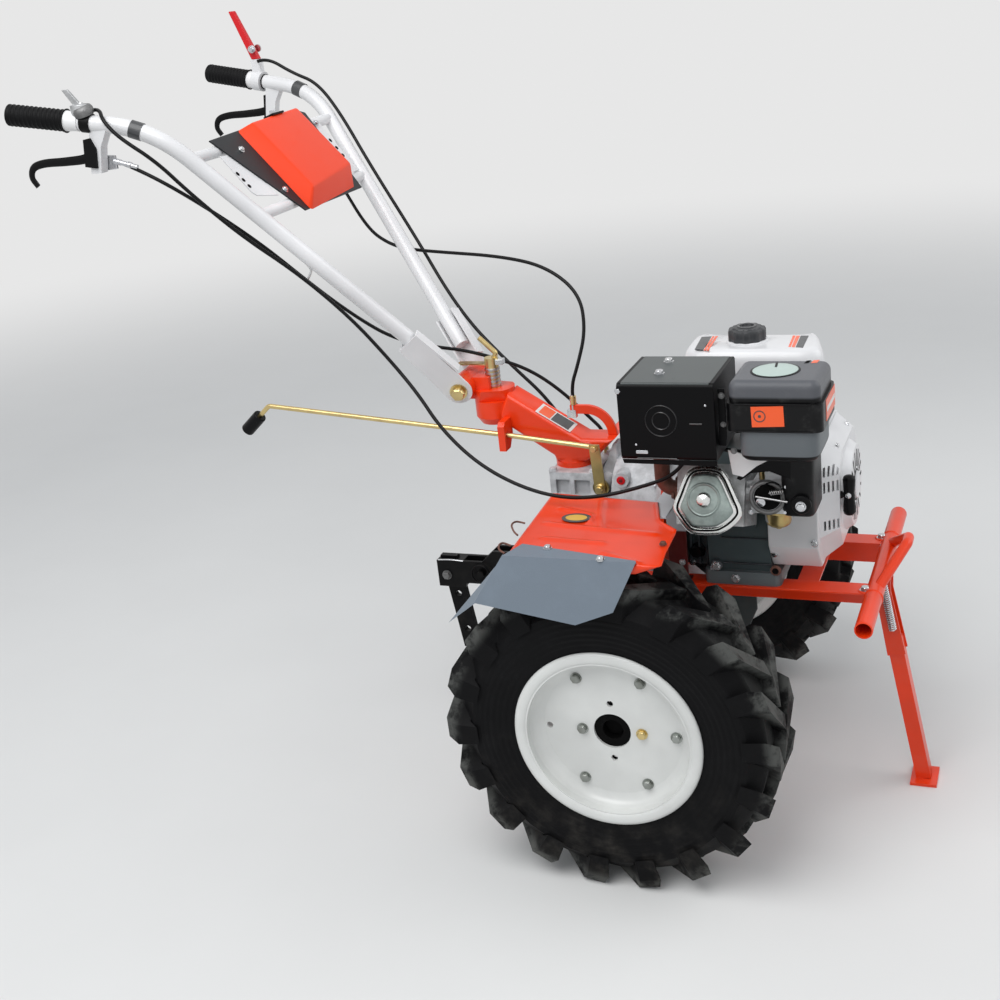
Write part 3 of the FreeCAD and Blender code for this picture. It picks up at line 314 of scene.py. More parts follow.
def joined(shapes):
    points, faces, start = [], [], 0
    for p, f in shapes:
        points.append(p)
        faces += [[start + i for i in face] for face in f]
        start += len(p)
    return np.vstack(points), faces


def square3(way):
    # a way, by its letter or as a direction, made a unit axis, and two unit directions across it
    axis = np.array(ways[way] if isinstance(way, str) else way, float)
    axis /= np.linalg.norm(axis)
    side = np.cross(axis, [0, 0, 1] if abs(axis[2]) < 0.9 else [1, 0, 0])
    side /= np.linalg.norm(side)
    return axis, side, np.cross(axis, side)


def turned(profile, at, way, turns=64, caps=True, wobble=None):
    # the profile's (radius, height) pairs carried round an axis: at + axis h + (u cos a + v sin a) r
    axis, u, v = square3(way)
    r, h = np.array(profile, float).T[:, :, None, None] / 1000
    a = (np.arange(turns) * 2 * pi / turns)[None, :, None]
    if wobble is not None:
        r = r * wobble(a)
    return loft(spot(*at) + h * axis + r * (np.cos(a) * u + np.sin(a) * v), caps)


def knob(profile, at, way, turns=64, wobble=None):  # a profile closed to the axis at both ends
    ends = [(0.01, profile[0][1]), (0.01, profile[-1][1])]
    return turned([ends[0], *profile, ends[1]], at, way, turns, True, wobble)


def band(profile, at, way, turns=64):  # a ring: a closed profile carried round the axis
    return turned([*profile, profile[0]], at, way, turns, False)


def sleeve(inner, outer, half):
    return [(inner, -half), (outer, -half), (outer, half), (inner, half)]


def disc(at, way, radius, high, edge=0.6, turns=32):  # a low round boss with a broken edge
    return knob([(radius, 0), (radius, high - edge), (radius - edge, high)], at, way, turns)


def curve(points, steps=8, closed=False):
    # a smooth line through the points: Catmull and Rom's cubic between each two of them
    p = np.asarray(points, float)
    ends = (p[-1], p, p[0], p[1]) if closed else (2 * p[0] - p[1], p, 2 * p[-1] - p[-2])
    q = np.vstack(ends)
    t = (np.arange(steps) / steps)[None, :, None]
    a, b, c, d = (q[i:len(q) - 3 + i, None, :] for i in range(4))
    line = 0.5 * (2 * b + (c - a) * t + (2 * a - 5 * b + 4 * c - d) * t ** 2 + (3 * b - a - 3 * c + d) * t ** 3)
    line = line.reshape(-1, p.shape[1])
    return line if closed else np.vstack([line, p[-1]])


def tube(path, radius, sides, flat=1.0, up=(0, 0, 1)):
    # a section carried along a path; flat squeezes it across, radius may change from point to point
    along = np.gradient(path, axis=0)
    along /= np.linalg.norm(along, axis=1)[:, None]
    side = np.cross(along, up)
    side /= np.linalg.norm(side, axis=1)[:, None]
    over = np.cross(side, along)
    a = (np.arange(sides) * 2 * pi / sides)[None, :, None]
    r = (np.broadcast_to(radius, len(path)) / 1000)[:, None, None]
    return loft(path[:, None] + r * (np.cos(a) * side[:, None] + np.sin(a) * flat * over[:, None]))


def wire(points, radius, steps=8, sides=10, flat=1.0, up=(0, 0, 1)):
    return tube(curve(spots(points), steps), radius, sides, flat, up)


def ledge(along, y, z, radius, flat=1.0):  # a raised line through the given places along x
    return wire([(x, y, z) for x in along], radius, flat=flat)


def coil(start, end, radius, turns, thick, per=14):
    # helix: centre line plus radius (u cos a + v sin a), closing in to the line at both ends
    a, b = spots([start, end])
    axis, u, v = square3(b - a)
    t = np.linspace(0, 1, turns * per + 1)[:, None]
    grow = radius / 1000 * np.clip(np.minimum(t, 1 - t) * turns * 1.5, 0.05, 1)
    angle = t * turns * 2 * pi
    return tube(a + (b - a) * t + grow * (np.cos(angle) * u + np.sin(angle) * v), thick, 8, up=axis)


def slab(outline, axis, low, high):  # a flat outline across the named axis, made as thick as low to high
    p, across = np.array(outline, float), "xyz".index(axis)
    return loft(np.array([spots(np.insert(p, across, h, axis=1)) for h in (low, high)]))


def sideSlab(outline, side, near, far):  # a slab between two distances from the centre plane
    return slab(outline, "y", *sorted((side * near, side * far)))


def patch(x0, y0, x1, y1, slant=0):  # four corners, the last two moved along by the slant
    return [(x0, y0), (x1, y0), (x1 + slant, y1), (x0 + slant, y1)]


def card(corners, thick):  # a thin sheet on flat corners, lifted along their normal
    p = spots(corners)
    normal = np.cross(p[1] - p[0], p[2] - p[0])
    normal /= np.linalg.norm(normal)
    return loft(np.array([p, p + normal * thick / 1000]))


def pillow(outline, rows, place):
    # rows are (inset, height): the smooth outline moved inwards along its normals, set by place(u, v, height)
    p = curve(outline, 4, True)
    t = np.roll(p, -1, axis=0) - np.roll(p, 1, axis=0)
    n = np.column_stack([-t[:, 1], t[:, 0]]) / np.linalg.norm(t, axis=1)[:, None]
    n *= np.sign(np.sum(p[:, 0] * np.roll(p[:, 1], -1) - p[:, 1] * np.roll(p[:, 0], -1)))
    inset, height = np.array(rows, float).T[:, :, None]
    return loft(spot(*place(p[:, 0] + n[:, 0] * inset, p[:, 1] + n[:, 1] * inset, height)))


def softCorners(corners, radius, steps=6):
    # a closed outline with each corner turned on a parabola that leaves its edges at the radius
    p = np.asarray(corners, float)
    t = np.linspace(0, 1, steps)[:, None]
    line = []
    for before, at, after in zip(np.roll(p, 1, axis=0), p, np.roll(p, -1, axis=0)):
        a = at + (before - at) / np.linalg.norm(before - at) * radius
        b = at + (after - at) / np.linalg.norm(after - at) * radius
        line.append((1 - t) ** 2 * a + 2 * t * (1 - t) * at + t ** 2 * b)
    return np.vstack(line)


def softBox(centre, half, rows, power, place=lambda x, y, z: (x, y, z), count=72):
    # rows are (inset, z); each outline is |x / half|^power + |y / half|^power = 1
    a = np.arange(count) * 2 * pi / count
    u, v = (np.sign(w) * np.abs(w) ** (2 / power) for w in (np.cos(a), np.sin(a)))
    inset, z = np.array(rows, float).T[:, :, None]
    return loft(spot(*place(centre[0] + (half[0] - inset) * u, centre[1] + (half[1] - inset) * v, z)))


def circle(radius, degrees):
    return [(radius * cos(a), radius * sin(a)) for a in np.radians(degrees)]


def boltHead(at, way, across, high, washer, thick):
    # hexagon head on a washer: the radius goes from a circle to flat / cos(angle from the flat's middle)
    wide, top = across * 0.56, thick + high
    rows = [(washer, 0, 0), (washer, thick, 0), (wide, thick, 1), (wide, thick + high * 0.8, 1),
            (across * 0.45, top, 0.3), (across * 0.2, top, 0)]
    r, h, share = np.array(rows, float).T[:, :, None]
    a = np.arange(24) * 2 * pi / 24
    flat = cos(pi / 6) / np.cos((a % (pi / 3)) - pi / 6)
    r = (r / 1000 * (1 + share * (flat - 1)) * np.where(share == 0, 1, 1.02))[..., None]
    axis, u, v = square3(way)
    return loft(spot(*at) + axis * h[..., None] / 1000 + r * (np.cos(a)[:, None] * u + np.sin(a)[:, None] * v))


def put(name, shape, slot, finish=None, body="root", smooth=40, bevel=0.0, stands=None):
    # a new piece: merged, turned outwards, on its body, with its slot's finish unless another finish is named,
    # perhaps standing for a CAD node
    mesh = bpy.data.meshes.new(name)
    mesh.from_pydata(shape[0].tolist(), [], [list(map(int, f)) for f in shape[1]])
    work = bmesh.new()
    work.from_mesh(mesh)
    bmesh.ops.remove_doubles(work, verts=work.verts, dist=1e-6)
    bmesh.ops.recalc_face_normals(work, faces=work.faces)
    work.to_mesh(mesh)
    work.free()
    return finishPiece(name, mesh, body, slot, finish, smooth, bevel, stands)


def finishPiece(name, mesh, body, slot, finish, smooth, bevel, stands):
    # shaded smooth below an angle, its edges broken by the bevel's width
    mesh.shade_smooth()
    mesh.set_sharp_from_angle(angle=radians(smooth))
    piece = bpy.data.objects.new(name, mesh)
    bpy.context.scene.collection.objects.link(piece)
    if bevel:
        edge = piece.modifiers.new("roundEdges", "BEVEL")
        edge.width, edge.segments, edge.limit_method = bevel / 1000, 2, "ANGLE"
        edge.angle_limit, edge.harden_normals = radians(35), True
    mesh.materials.append(finishes[finish or slot])
    if body:
        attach(piece, body)
    if stands:
        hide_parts(stands)
    return piece


def bolts(name, rows, slot="zinc", finish="silverZinc", body="root"):
    # each row is x, y, z, the way the head faces and its width across the flats
    heads = [boltHead((x, y, z), way, wide, wide * 0.42, wide * 0.7, wide * 0.13) for x, y, z, way, wide in rows]
    put(name, joined(heads), slot, finish, body)


def twoSides(rows):
    other = {"y": "Y", "Y": "y"}
    return rows + [(x, -y, z, other.get(way, way), wide) for x, y, z, way, wide in rows]


for name, thing in frame["nodes"].items():
    thing.data.materials.clear()
    thing.data.materials.append(finishes[slotOf[name]])
coated = {}


def coat(node, finish):  # a finish of its own for a CAD node
    coated[node] = finish
    frame["nodes"][node].data.materials[0] = finishes[finish]


def rounded(node, width, smooth=30):
    # the CAD node's own shape with its sharp edges broken, standing for the node
    mesh = frame["nodes"][node].data.copy()
    mesh.materials.clear()
    work = bmesh.new()
    work.from_mesh(mesh)
    bmesh.ops.remove_doubles(work, verts=work.verts, dist=2e-6)
    bmesh.ops.dissolve_limit(work, angle_limit=radians(0.5), verts=work.verts, edges=work.edges)
    work.to_mesh(mesh)
    work.free()
    finishPiece(node + ".edges", mesh, bodyOf[node], slotOf[node], coated.get(node), smooth, width, node)


# the camera and the control cables come first
view = {"eye": (718.9, -2446.97, 1583.2), "right": (0.92686, 0.35958, -0.10782),
        "down": (0.03691, -0.37312, -0.92705), "ahead": (-0.37358, 0.85527, -0.35911), "lens": 50.18}

camera = bpy.data.objects.new("photoCamera", bpy.data.cameras.new("photoCamera"))
bpy.context.scene.collection.objects.link(camera)
turn = Matrix([view["right"], [-c for c in view["down"]], [-c for c in view["ahead"]]]).transposed().to_4x4()
camera.matrix_world = Matrix.Translation(spot(*view["eye"])) @ turn
camera.data.lens = view["lens"]
camera.data.sensor_width = 36.0
camera.data.clip_end = 60.0
bpy.context.scene.camera = camera

cables = {
    "cable_clutch": {"length": 1.1, "route": [
        (-896, 300, 1318), (-870, 296, 1308), (-800, 262, 1262), (-737, 230, 1183), (-662, 185, 1088),
        (-607, 165, 1058), (-562, 168, 1044), (-485, 150, 1040), (-341, 120, 1034), (-235, 90, 1018),
        (-160, 62, 970), (-146, 38, 902), (-160, 12, 838), (-171, 0, 804), (-171, 0, 782)]},
    "cable_far": {"length": 1.19, "route": [
        (-934, 306, 1436), (-910, 308, 1442), (-850, 302, 1406), (-795, 304, 1382), (-732, 273, 1316),
        (-656, 224, 1216), (-550, 188, 1058), (-480, 146, 964), (-420, 114, 900), (-365, 88, 856),
        (-310, 72, 810), (-258, 62, 766), (-216, 56, 712), (-206, 54, 680), (-206, 54, 659)]},
    "cable_near": {"length": 1.1, "route": [
        (-896, -300, 1318), (-876, -298, 1312), (-789, -280, 1258), (-690, -210, 1150), (-612, -150, 1040),
        (-560, -100, 968), (-512, -62, 918), (-452, -20, 888), (-396, 10, 872), (-330, 24, 850),
        (-268, 42, 820), (-212, 56, 772), (-160, 60, 716), (-130, 54, 690), (-130, 54, 659)]},
    "cable_throttle": {"length": 1.58, "route": [
        (-921, -303, 1412), (-902, -311, 1413), (-882, -337, 1396), (-855, -336, 1364), (-800, -318, 1317),
        (-762, -285, 1251), (-702, -236, 1162), (-622, -196, 1082), (-540, -170, 990), (-480, -150, 901),
        (-419, -170, 839), (-371, -190, 777), (-299, -210, 719), (-216, -225, 681), (-130, -235, 663),
        (-46, -240, 670), (42, -228, 693), (83, -226, 710), (112, -224, 744), (150, -214, 758),
        (200, -205, 752), (236, -202.8, 742.3), (236, -202.8, 714.3)]},
}

for name, cable in cables.items():
    line = bpy.data.curves.new(name + ".line", "CURVE")
    line.dimensions = "3D"
    line.bevel_depth, line.bevel_resolution, line.resolution_u = 0.0035, 4, 10
    line.use_fill_caps = True
    route, points = line.splines.new("NURBS"), spots(cable["route"])
    route.points.add(len(points) - 1)
    route.points.foreach_set("co", np.column_stack([points, np.ones(len(points))]).ravel())
    route.order_u = 3
    route.use_endpoint_u = True
    piece = bpy.data.objects.new(name + ".sheath", line)
    bpy.context.scene.collection.objects.link(piece)
    line.materials.append(finishes["cable"])
    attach(piece, "root")
    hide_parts(name)
    tuple(spot(*cable["route"][0]))
print("cables laid")


# wheels
wheel = {"mid": 392, "face": 428, "head": 15, "boltCircle": 116.5, "boltAngles": (120, 60, 0, -60, -120),
         "hubCircle": 54.5,
         "lip": [(148.2, 60), (148.6, 66.5), (151, 70.5), (156, 72.5), (164, 73), (169.5, 71.5), (171.4, 68),
                 (170.6, 65), (167, 64.5), (160, 66)],
         "cove": [(148.3, 35), (126, 36.1), (133, 37.2), (139, 39.8), (143.6, 44), (146.6, 49.5), (148.3, 56)]}

for side, label, out in sides:
    body = "wheel_" + label

    def discBolts(name, radius, degrees, slot, finish):
        rows = [(x, side * wheel["face"], axleHeight + z, out, wheel["head"]) for x, z in circle(radius, degrees)]
        bolts(name + label, rows, slot, finish, body)

    discBolts("discBolts_", wheel["boltCircle"], wheel["boltAngles"], "steel", "dullSteel")
    discBolts("hubBolt_", wheel["hubCircle"], (180,), "steel", "dullSteel")
    discBolts("hubBoltZinc_", wheel["hubCircle"], (0,), "zinc", "zinc")
    mid = 0, side * wheel["mid"], axleHeight
    innerLip = [(r, -h) for r, h in wheel["lip"]]
    for name, profile in (("rimLip_", wheel["lip"]), ("rimCove_", wheel["cove"]), ("rimInnerLip_", innerLip)):
        put(name + label, band(profile, mid, out, 96), "rim_white", body=body, smooth=60)
    rounded("tyre_" + label, 3.6, smooth=40)
    # the hub and axle painted black as the shade inside the wheel's centre hole
    coat("hub_" + label, "shadowBlack")
    coat("axle_" + label, "shadowBlack")
print("wheels dressed")


# fenders, their pressed ridges, decal and ties; an edge's rows are share, x and y
fender = {"height": 645.5, "rows": 62, "columns": 60, "ridge": 3.6, "ridgeWidth": 5.5, "lip": 15,
          "backEdge": [(0, -165, 172), (0.985, -150, 460), (1, -138, 466)],
          "frontEdge": [(0, 45, 197), (0.32, 72, 284), (0.46, 111, 322), (0.79, 116, 412), (0.985, 122, 462),
                        (1, 118, 466)],
          "ridges": [[(-128, 316), (-90, 321), (-19, 330), (79, 340)], [(-110, 380), (-60, 384), (0, 388)],
                     [(-58, 202), (-44, 262), (-24, 322)], [(44, 206), (68, 275), (112, 322)],
                     [(-124, 245), (-92, 256), (-58, 270), (-50, 303)], [(11, 426), (40, 441), (78, 458)]],
          "ties": [[(-160, 376, 648), (-170, 368, 652), (-181, 348, 655), (-181, 326, 652), (-166, 322, 648)],
                   [(-155, 453, 648), (-166, 448, 652), (-172, 434, 654), (-170, 420, 652), (-156, 420, 648)]]}


def fenderSheet(side):
    # height = ridge exp(-(d / ridgeWidth)^2) at distance d from a pressed line; the last two rows fold down
    v = np.append(np.linspace(0, 1, fender["rows"]), [1, 1])[:, None]
    fall = np.append(np.zeros(fender["rows"]), [0.15, 1])[:, None]
    u = np.linspace(0, 1, fender["columns"])[None, :, None]
    back, front = (np.stack([np.interp(v, edge[:, 0], edge[:, k]) for k in (1, 2)], -1)
                   for edge in map(np.array, (fender["backEdge"], fender["frontEdge"])))
    p = back + (front - back) * u
    height = np.zeros(p.shape[:2])
    for line in fender["ridges"]:
        line = np.array(line, float)
        for a, b in zip(line[:-1], line[1:]):
            t = np.clip(((p - a) @ (b - a)) / ((b - a) @ (b - a)), 0, 1)[..., None]
            d = np.linalg.norm(p - a - (b - a) * t, axis=-1)
            height = np.maximum(height, fender["ridge"] * np.exp(-(d / fender["ridgeWidth"]) ** 2))
    height = height * (fall == 0) - fall * fender["lip"] * np.clip((118 - p[..., 0]) / 40, 0, 1)
    points = spot(p[..., 0], side * (p[..., 1] + 1.2 * (fall > 0)), fender["height"] + height)
    return points.reshape(-1, 3), gridFaces(*height.shape, False).tolist()


for side, label, out in sides:
    sheet = put("fenderSheet_" + label, fenderSheet(side), "orange", smooth=50, stands="fender_" + label)
    thick = sheet.modifiers.new("sheetThickness", "SOLIDIFY")
    thick.thickness, thick.offset = 0.0018, 0
    bolts("flapBolts_" + label, [(-84, side * 433, 652, "z", 11), (20, side * 466, 652, "z", 11)])
    bolts("stayBolt_" + label, [(66, side * 138, 503, out, 9)])
    bolts("fenderBolt_" + label, [(104, side * 385, 649, "z", 9)], finish="rust")
    ties = [wire([(x, side * y, z) for x, y, z in line], 1.7) for line in fender["ties"]]
    put("flapTies_" + label, joined(ties), "zinc", "rust", smooth=60)
    for name, grow, low, high, finish in (("fenderOval_", 7, 648.8, 649.5, "decalGrey"),
                                          ("fenderOvalFace_", 0, 649.2, 649.8, "decalYellow")):
        oval = [(-80 + (20 + grow) * x, side * (290 + (13 + grow) * y)) for x, y in circle(1, range(0, 360, 9))]
        put(name + label, slab(oval, "z", low, high), "orange", finish)
print("fenders dressed")


# exhaust box
guard = {"face": -306, "top": 904, "ring": (92, -306, 839)}
face, top = guard["face"], guard["top"]
beads = [band([(26, 0), (27, 1.4), (28, 0)], guard["ring"], "Y"),
         band([(14, 0), (15, 1.2), (16, 0)], guard["ring"], "Y", 48),
         ledge((47, 80, 116), face, 772, 1.4), ledge((141, 151, 162), face, 834.5, 1.4)]
put("guardBeads", joined(beads), "black_paint", "blackBead", smooth=60)
tag = [(46, 780), (65, 780), (66, 781), (66, 785), (65, 786), (46, 786), (45, 785), (45, 781)]
put("guardTag", slab(tag, "y", face - 1, face + 0.5), "zinc", "silverZinc", bevel=0.4)
rivets = [disc((x, face, z), "Y", 2, 1.2) for x, z in ((46, 796), (169, 867))]
put("guardRivets", joined(rivets), "zinc", "silverZinc")
bolts("guardBolts", [(77, -180, top, "z", 13), (79, -250, top, "z", 13), (20, -302, 890, "Y", 9)])
slots = [slab(patch(161, -224, 166, -190, 2), "z", top - 0.5, top + 0.3),
         slab(patch(158, -262, 163, -236, 2), "z", top - 0.5, top + 0.3)]
put("guardSlots", joined(slots), "black_paint", "shadowBlack")
skirt = [(20, 769), (184, 769), (184, 760), (22, 762)]
put("guardSkirt", slab(skirt, "y", face + 0.5, face + 2.5), "black_paint")
# a thin grey sheet on the black guard's top as painted sky reflection, and a grey strip on its front edge as
# painted highlight
put("guardTopPlate", slab(patch(25, -299, 177, -147), "z", top - 0.4, top + 0.4), "black_paint", "guardGrey")
put("guardTopEdge", ledge((26, 100, 176), -301.5, 902.6, 2.6, 0.8), "black_paint", "guardGrey", smooth=60)
bracket = [(184, 790), (196, 790), (198, 806), (197, 890), (186, 890)]
put("guardBracket", slab(bracket, "y", -286, -283), "black_paint", bevel=0.8)
bolts("bracketBolts", [(192, -286, 878, "Y", 8), (193, -286, 828, "Y", 7), (208, -284, 781, "Y", 8)],
      finish="darkCast")
shield = [(190, 770), (258, 753), (238, 742), (214, 722), (196, 726)]
put("heatShield", slab(shield, "y", -252, -249.5), "white", "white_plastic", bevel=0.6)
flange = [(-222, 660), (-205, 652), (-180, 668), (-172, 688), (-190, 698), (-214, 684)]
put("exhaustFlange", slab(flange, "x", 82, 88), "iron", "rust", bevel=1)
bolts("flangeNuts", [(82, -214, 668, "X", 11), (82, -181, 685, "X", 11)], finish="rust")
coat("exhaust_pipe", "rust")
print("exhaust dressed")


# air cleaner, duct and carburettor
cleaner = {"side": -301, "top": 904.6, "label": (257, -301, 848), "dial": (272, -232, 904.6),
           "duct": [(9, 646), (3, 648), (0, 653), (0, 770)],
           "collar": [(14, 764), (6, 767), (1.5, 772), (0, 777), (0, 821)]}
# the air cleaner black, with its sloping top painted grey as sky reflection
coat("air_cleaner", "cleanerShell")
duct = [softBox((303, -197), (29, 46), cleaner["duct"], 6), softBox((284, -231), (66, 66), cleaner["collar"], 7)]
put("ductShape", joined(duct), "grey_plastic", "ductShell", smooth=50, stands="intake_elbow")
label = slab([(244, 829), (297, 831), (296, 866), (243, 864)], "y", cleaner["side"], cleaner["side"] + 1.5)
put("cleanerLabel", label, "black_plastic", "decalOrange")
marks = [band([(8.4, 0), (8.4, 0.5), (10, 0.5), (10, 0)], cleaner["label"], "Y", 40),
         disc(cleaner["label"], "Y", 2.6, 0.5, 0.2)]
put("cleanerLabelSpot", joined(marks), "black_plastic", "decalGrey")
dial = [(38, 0), (38, 1.4), (36.5, 2.2), (30, 2.8), (12, 3.2)]
put("cleanerDial", knob(dial, cleaner["dial"], "z"), "grey_plastic", "dialGreen")
dialRim = [(37.6, -0.6), (37.6, 1.8), (41, 1.2), (41.6, -0.6)]
put("cleanerDialRim", band(dialRim, cleaner["dial"], "z"), "black_plastic")
put("cleanerDialTick", slab(patch(269, -222, 273, -196, -3), "z", 906.5, 908.3), "black_plastic", bevel=0.3)
for name, outline, finish in (
        ("cleanerStripeDark", [(312, -192), (319, -190), (321, -174), (314, -176)], "shadowBlack"),
        ("cleanerStripeOrange", [(323, -190), (333, -188), (335, -172), (325, -174)], "decalOrange")):
    put(name, slab(outline, "z", cleaner["top"], cleaner["top"] + 0.7), "black_plastic", finish)
put("cleanerPatch", slab(patch(-262, 828, -172, 864), "x", 357.5, 358.6), "black_plastic", "decalOrange")
put("cleanerPatchBand", slab(patch(-256, 842, -178, 850), "x", 358, 359), "black_plastic", "decalWhite")
seams = [ledge((216, 280, 342), cleaner["side"], z, 1.3) for z in (868, 821.5)]
put("cleanerSeam", joined(seams), "black_plastic", smooth=60)
put("ductBoss", disc((310, -242, 672), "Y", 17, 8, 2, 40), "black_plastic")
bolts("ductBolt", [(310, -250, 671, "Y", 13)])
choke = wire([(250, -240, 702), (256, -252, 712), (266, -258, 716), (276, -258, 712)], 3.2, flat=0.5)
put("chokeLever", choke, "black_plastic", smooth=60)
rod = wire([(233, -248, 685), (260, -248, 681), (287, -248, 677)], 2.0)
put("carburettorRod", rod, "steel", smooth=60)
lobe = [(250, 753), (297, 755), (295, 714), (280, 720), (257, 729), (226, 725), (207, 711), (199, 714),
        (214, 728), (233, 745)]
put("ductLobe", slab(lobe, "y", -243, -216), "black_plastic", bevel=2.5)
horn = [(31.5, -4), (31.5, 2), (30, 4.4), (27.5, 5), (25, 3.4), (23.5, -1), (22.5, -4)]
# the horn's dark alloy is painted shade of the recess around the carburettor
put("carburettorHorn", band(horn, (251, -238, 680), "Y"), "cast", "darkCast", smooth=60)
put("carburettorThroat", disc((251, -237, 680), "Y", 23.5, 1.2), "cast", "shadowBlack")
valve = knob([(8, 0), (8, 4), (6, 5.4)], (240, -238, 672), "Y", 32)
put("carburettorValve", valve, "cast", "silverZinc", smooth=50)
bolts("carburettorScrews", [(281, -239, 655, "Y", 6), (222, -239, 652, "Y", 6), (284, -239, 702, "Y", 6)])
put("idleSpring", coil((256, -247, 692), (280, -247, 696), 4, 7, 1.0), "steel", smooth=60)
bowl = [(22.5, 16), (24, 14), (24, 11), (22.6, 9), (22, -6), (20.5, -11), (16, -14.5), (8, -16)]
put("carburettorBowl", knob(bowl, (264, -212, 634), "z", 48), "zinc", "brass", smooth=45)
bolts("bowlNut", [(264, -212, 618.4, "Z", 10)], finish="brass")
print("intake dressed")


# crankcase, rocker cover, shroud and recoil
coat("crankcase", "caseTone")
head = {"lean": radians(21), "foot": (148, 588), "ring": (-4, -7, 272),
        "cover": [(-37, 40), (-25, 49), (-6, 52), (12, 51), (26, 46), (37, 33), (46, 15), (55, -4), (62, -20),
                  (61, -34), (48, -50), (31, -62), (16, -67), (-17, -68), (-33, -62), (-47, -46), (-58, -30),
                  (-59, -16), (-52, 4), (-45, 24)],
        "coverRows": [(8, 238), (8, 258), (1, 260), (0, 262), (0, 265), (2, 267), (6, 267.4), (7.4, 265.4),
                      (8.8, 265.4), (10, 268), (13, 270.5)],
        "grooveRows": [(6.6, 266.2), (7, 266.9), (9, 266.9), (9.6, 266.2)],
        "panelRows": [(14, 269.8), (15, 271.4), (18, 272)]}
leanCos, leanSin = cos(head["lean"]), sin(head["lean"])


def onHead(side, up, away):  # sideways, up the head and away from the crankcase, as the cylinder leans
    return head["foot"][0] + side, -away * leanCos + up * leanSin, head["foot"][1] + away * leanSin + up * leanCos


put("rockerCover", pillow(head["cover"], head["coverRows"], onHead), "chrome", "coverSilver", smooth=50,
    stands="head_cover")
put("rockerGroove", pillow(head["cover"], head["grooveRows"], onHead), "chrome", "shadowBlack")
put("rockerPanel", pillow(head["cover"], head["panelRows"], onHead), "chrome", "coverPanel", smooth=50)
faceWay, ringAt = (0, -leanCos, leanSin), onHead(*head["ring"])
put("rockerRing", band([(24, -1), (26, 1.6), (29, 1.6), (31, -1)], ringAt, faceWay), "chrome", "coverPanel",
    smooth=60)
put("rockerBoss", turned([(13.5, 0), (12.5, 4), (9, 6.2), (0.01, 7)], ringAt, faceWay, 48), "chrome",
    "coverSilver", smooth=60)
bolts("footBolts", twoSides([(120, -118, 484, "z", 13), (232, -118, 484, "z", 13), (163, -128, 471, "Y", 12)]))
ledges = [ledge((139, 184, 228), -121, 499, 2.6, 0.8), ledge((139, 184, 228), -124, 551, 2.2, 0.8)]
put("sumpLedge", joined(ledges), "grey_case", smooth=60)
oilCap = knob([(15, 0), (15, 4), (12, 6), (12, 14), (10.5, 16)], (86, -98, 512), "Y", 48,
              lambda a: 1 + 0.04 * np.sin(8 * a))
put("oilCap", oilCap, "black_plastic")
put("drainBoss", disc((128, -124, 496), "Y", 11, 7, 1.5), "grey_case")
bolts("drainBolt", [(128, -131, 496, "Y", 13), (74, -98, 548, "Y", 10), (74, -98, 486, "Y", 10)])
ribs = [slab([(x, 488), (x + 4, 488), (x + 4, 572), (x, 560)], "y", -110, -97) for x in (58, 74, 90, 104)]
put("caseRibs", joined(ribs), "grey_case", bevel=0.8)
put("footEar", disc((238, -128, 492), "Y", 10, 5, 1.5, 40), "grey_case", "rust")
put("footEarHole", disc((238, -133, 492), "Y", 6, 0.4, 0.1), "grey_case", "shadowBlack")

recoil = {"centre": (366, 0, 616), "slots": 18, "slot": ((34, -2), (66, -2.6), (66, 2.6), (34, 2))}
fan = [slab([(y * c - w * s, recoil["centre"][2] + y * s + w * c) for y, w in recoil["slot"]], "x", 365.5, 366.4)
       for c, s in circle(1, np.arange(recoil["slots"]) * 360 / recoil["slots"])]
put("recoilSlots", joined(fan), "black_plastic", "shadowBlack")
hub = turned([(0.01, 0), (26, 0), (25, 3.4), (20, 5), (0.01, 5.6)], recoil["centre"], "x")
put("recoilHub", hub, "white", smooth=50)
put("recoilHubRing", band([(27, -0.4), (27.5, 1.2), (29.5, 1.2), (30, -0.4)], recoil["centre"], "x"),
    "black_plastic")
bolts("recoilBolts", [(340, 112, 650, "x", 9), (340, 112, 566, "x", 9), (341, -60, 712, "x", 9),
                      (341, 60, 712, "x", 9)])
grip = [(0.01, -38), (6, -37.5), (9.6, -35), (11.2, -30), (10.6, -18), (9.4, -4), (9.4, 4), (10.6, 18),
        (11.2, 30), (9.6, 35), (6, 37.5), (0.01, 38)]
put("recoilGrip", turned(grip, (367, -92, 631), "z", 40), "black_plastic", smooth=60, stands="recoil_handle")
neck = turned([(7.5, 0), (7, 4), (4.5, 8), (4, 16), (0.01, 16)], (349, -92, 631), "x", 32)
put("recoilNeck", neck, "black_plastic", smooth=60)
eyelet = knob([(5.2, 0), (5.2, 1.6), (3, 2.6)], (367, -102, 634), "Y", 32)
put("recoilEyelet", eyelet, "steel", "silverZinc", smooth=60)
bolts("shroudBolts", [(236, -142, 704, "Y", 10), (312, -142, 556, "Y", 10), (236, -128, 524, "Y", 9),
                      (316, -126, 720, "z", 9), (240, 138, 600, "y", 10), (306, 138, 600, "y", 10)])
print("engine dressed")


# tank
tank = {"centre": (189, 61), "half": (131, 109), "top": 884, "cap": (171, 24, 886),
        "rows": [(16, 756), (6, 757.5), (1.5, 762), (0, 770), (0, 808), (-3.5, 809.5), (-3.5, 814), (0, 815.5),
                 (0, 858), (1.5, 867), (4.5, 875), (9, 880.6), (14, 883.2), (20, 884)],
        "decals": {"tankDecalA": ([(86, -34), (79, 49), (110, 55), (114, -41)],
                                  [(0.0, 0.58, "decalGrey"), (0.64, 0.76, "decalOrange"),
                                   (0.82, 0.97, "decalOrange")]),
                   "tankDecalB": ([(254, -19), (249, 54), (278, 53), (281, -25)],
                                  [(0.0, 0.16, "decalOrange"), (0.22, 0.44, "decalOrange"),
                                   (0.5, 1.0, "decalGrey")])}}


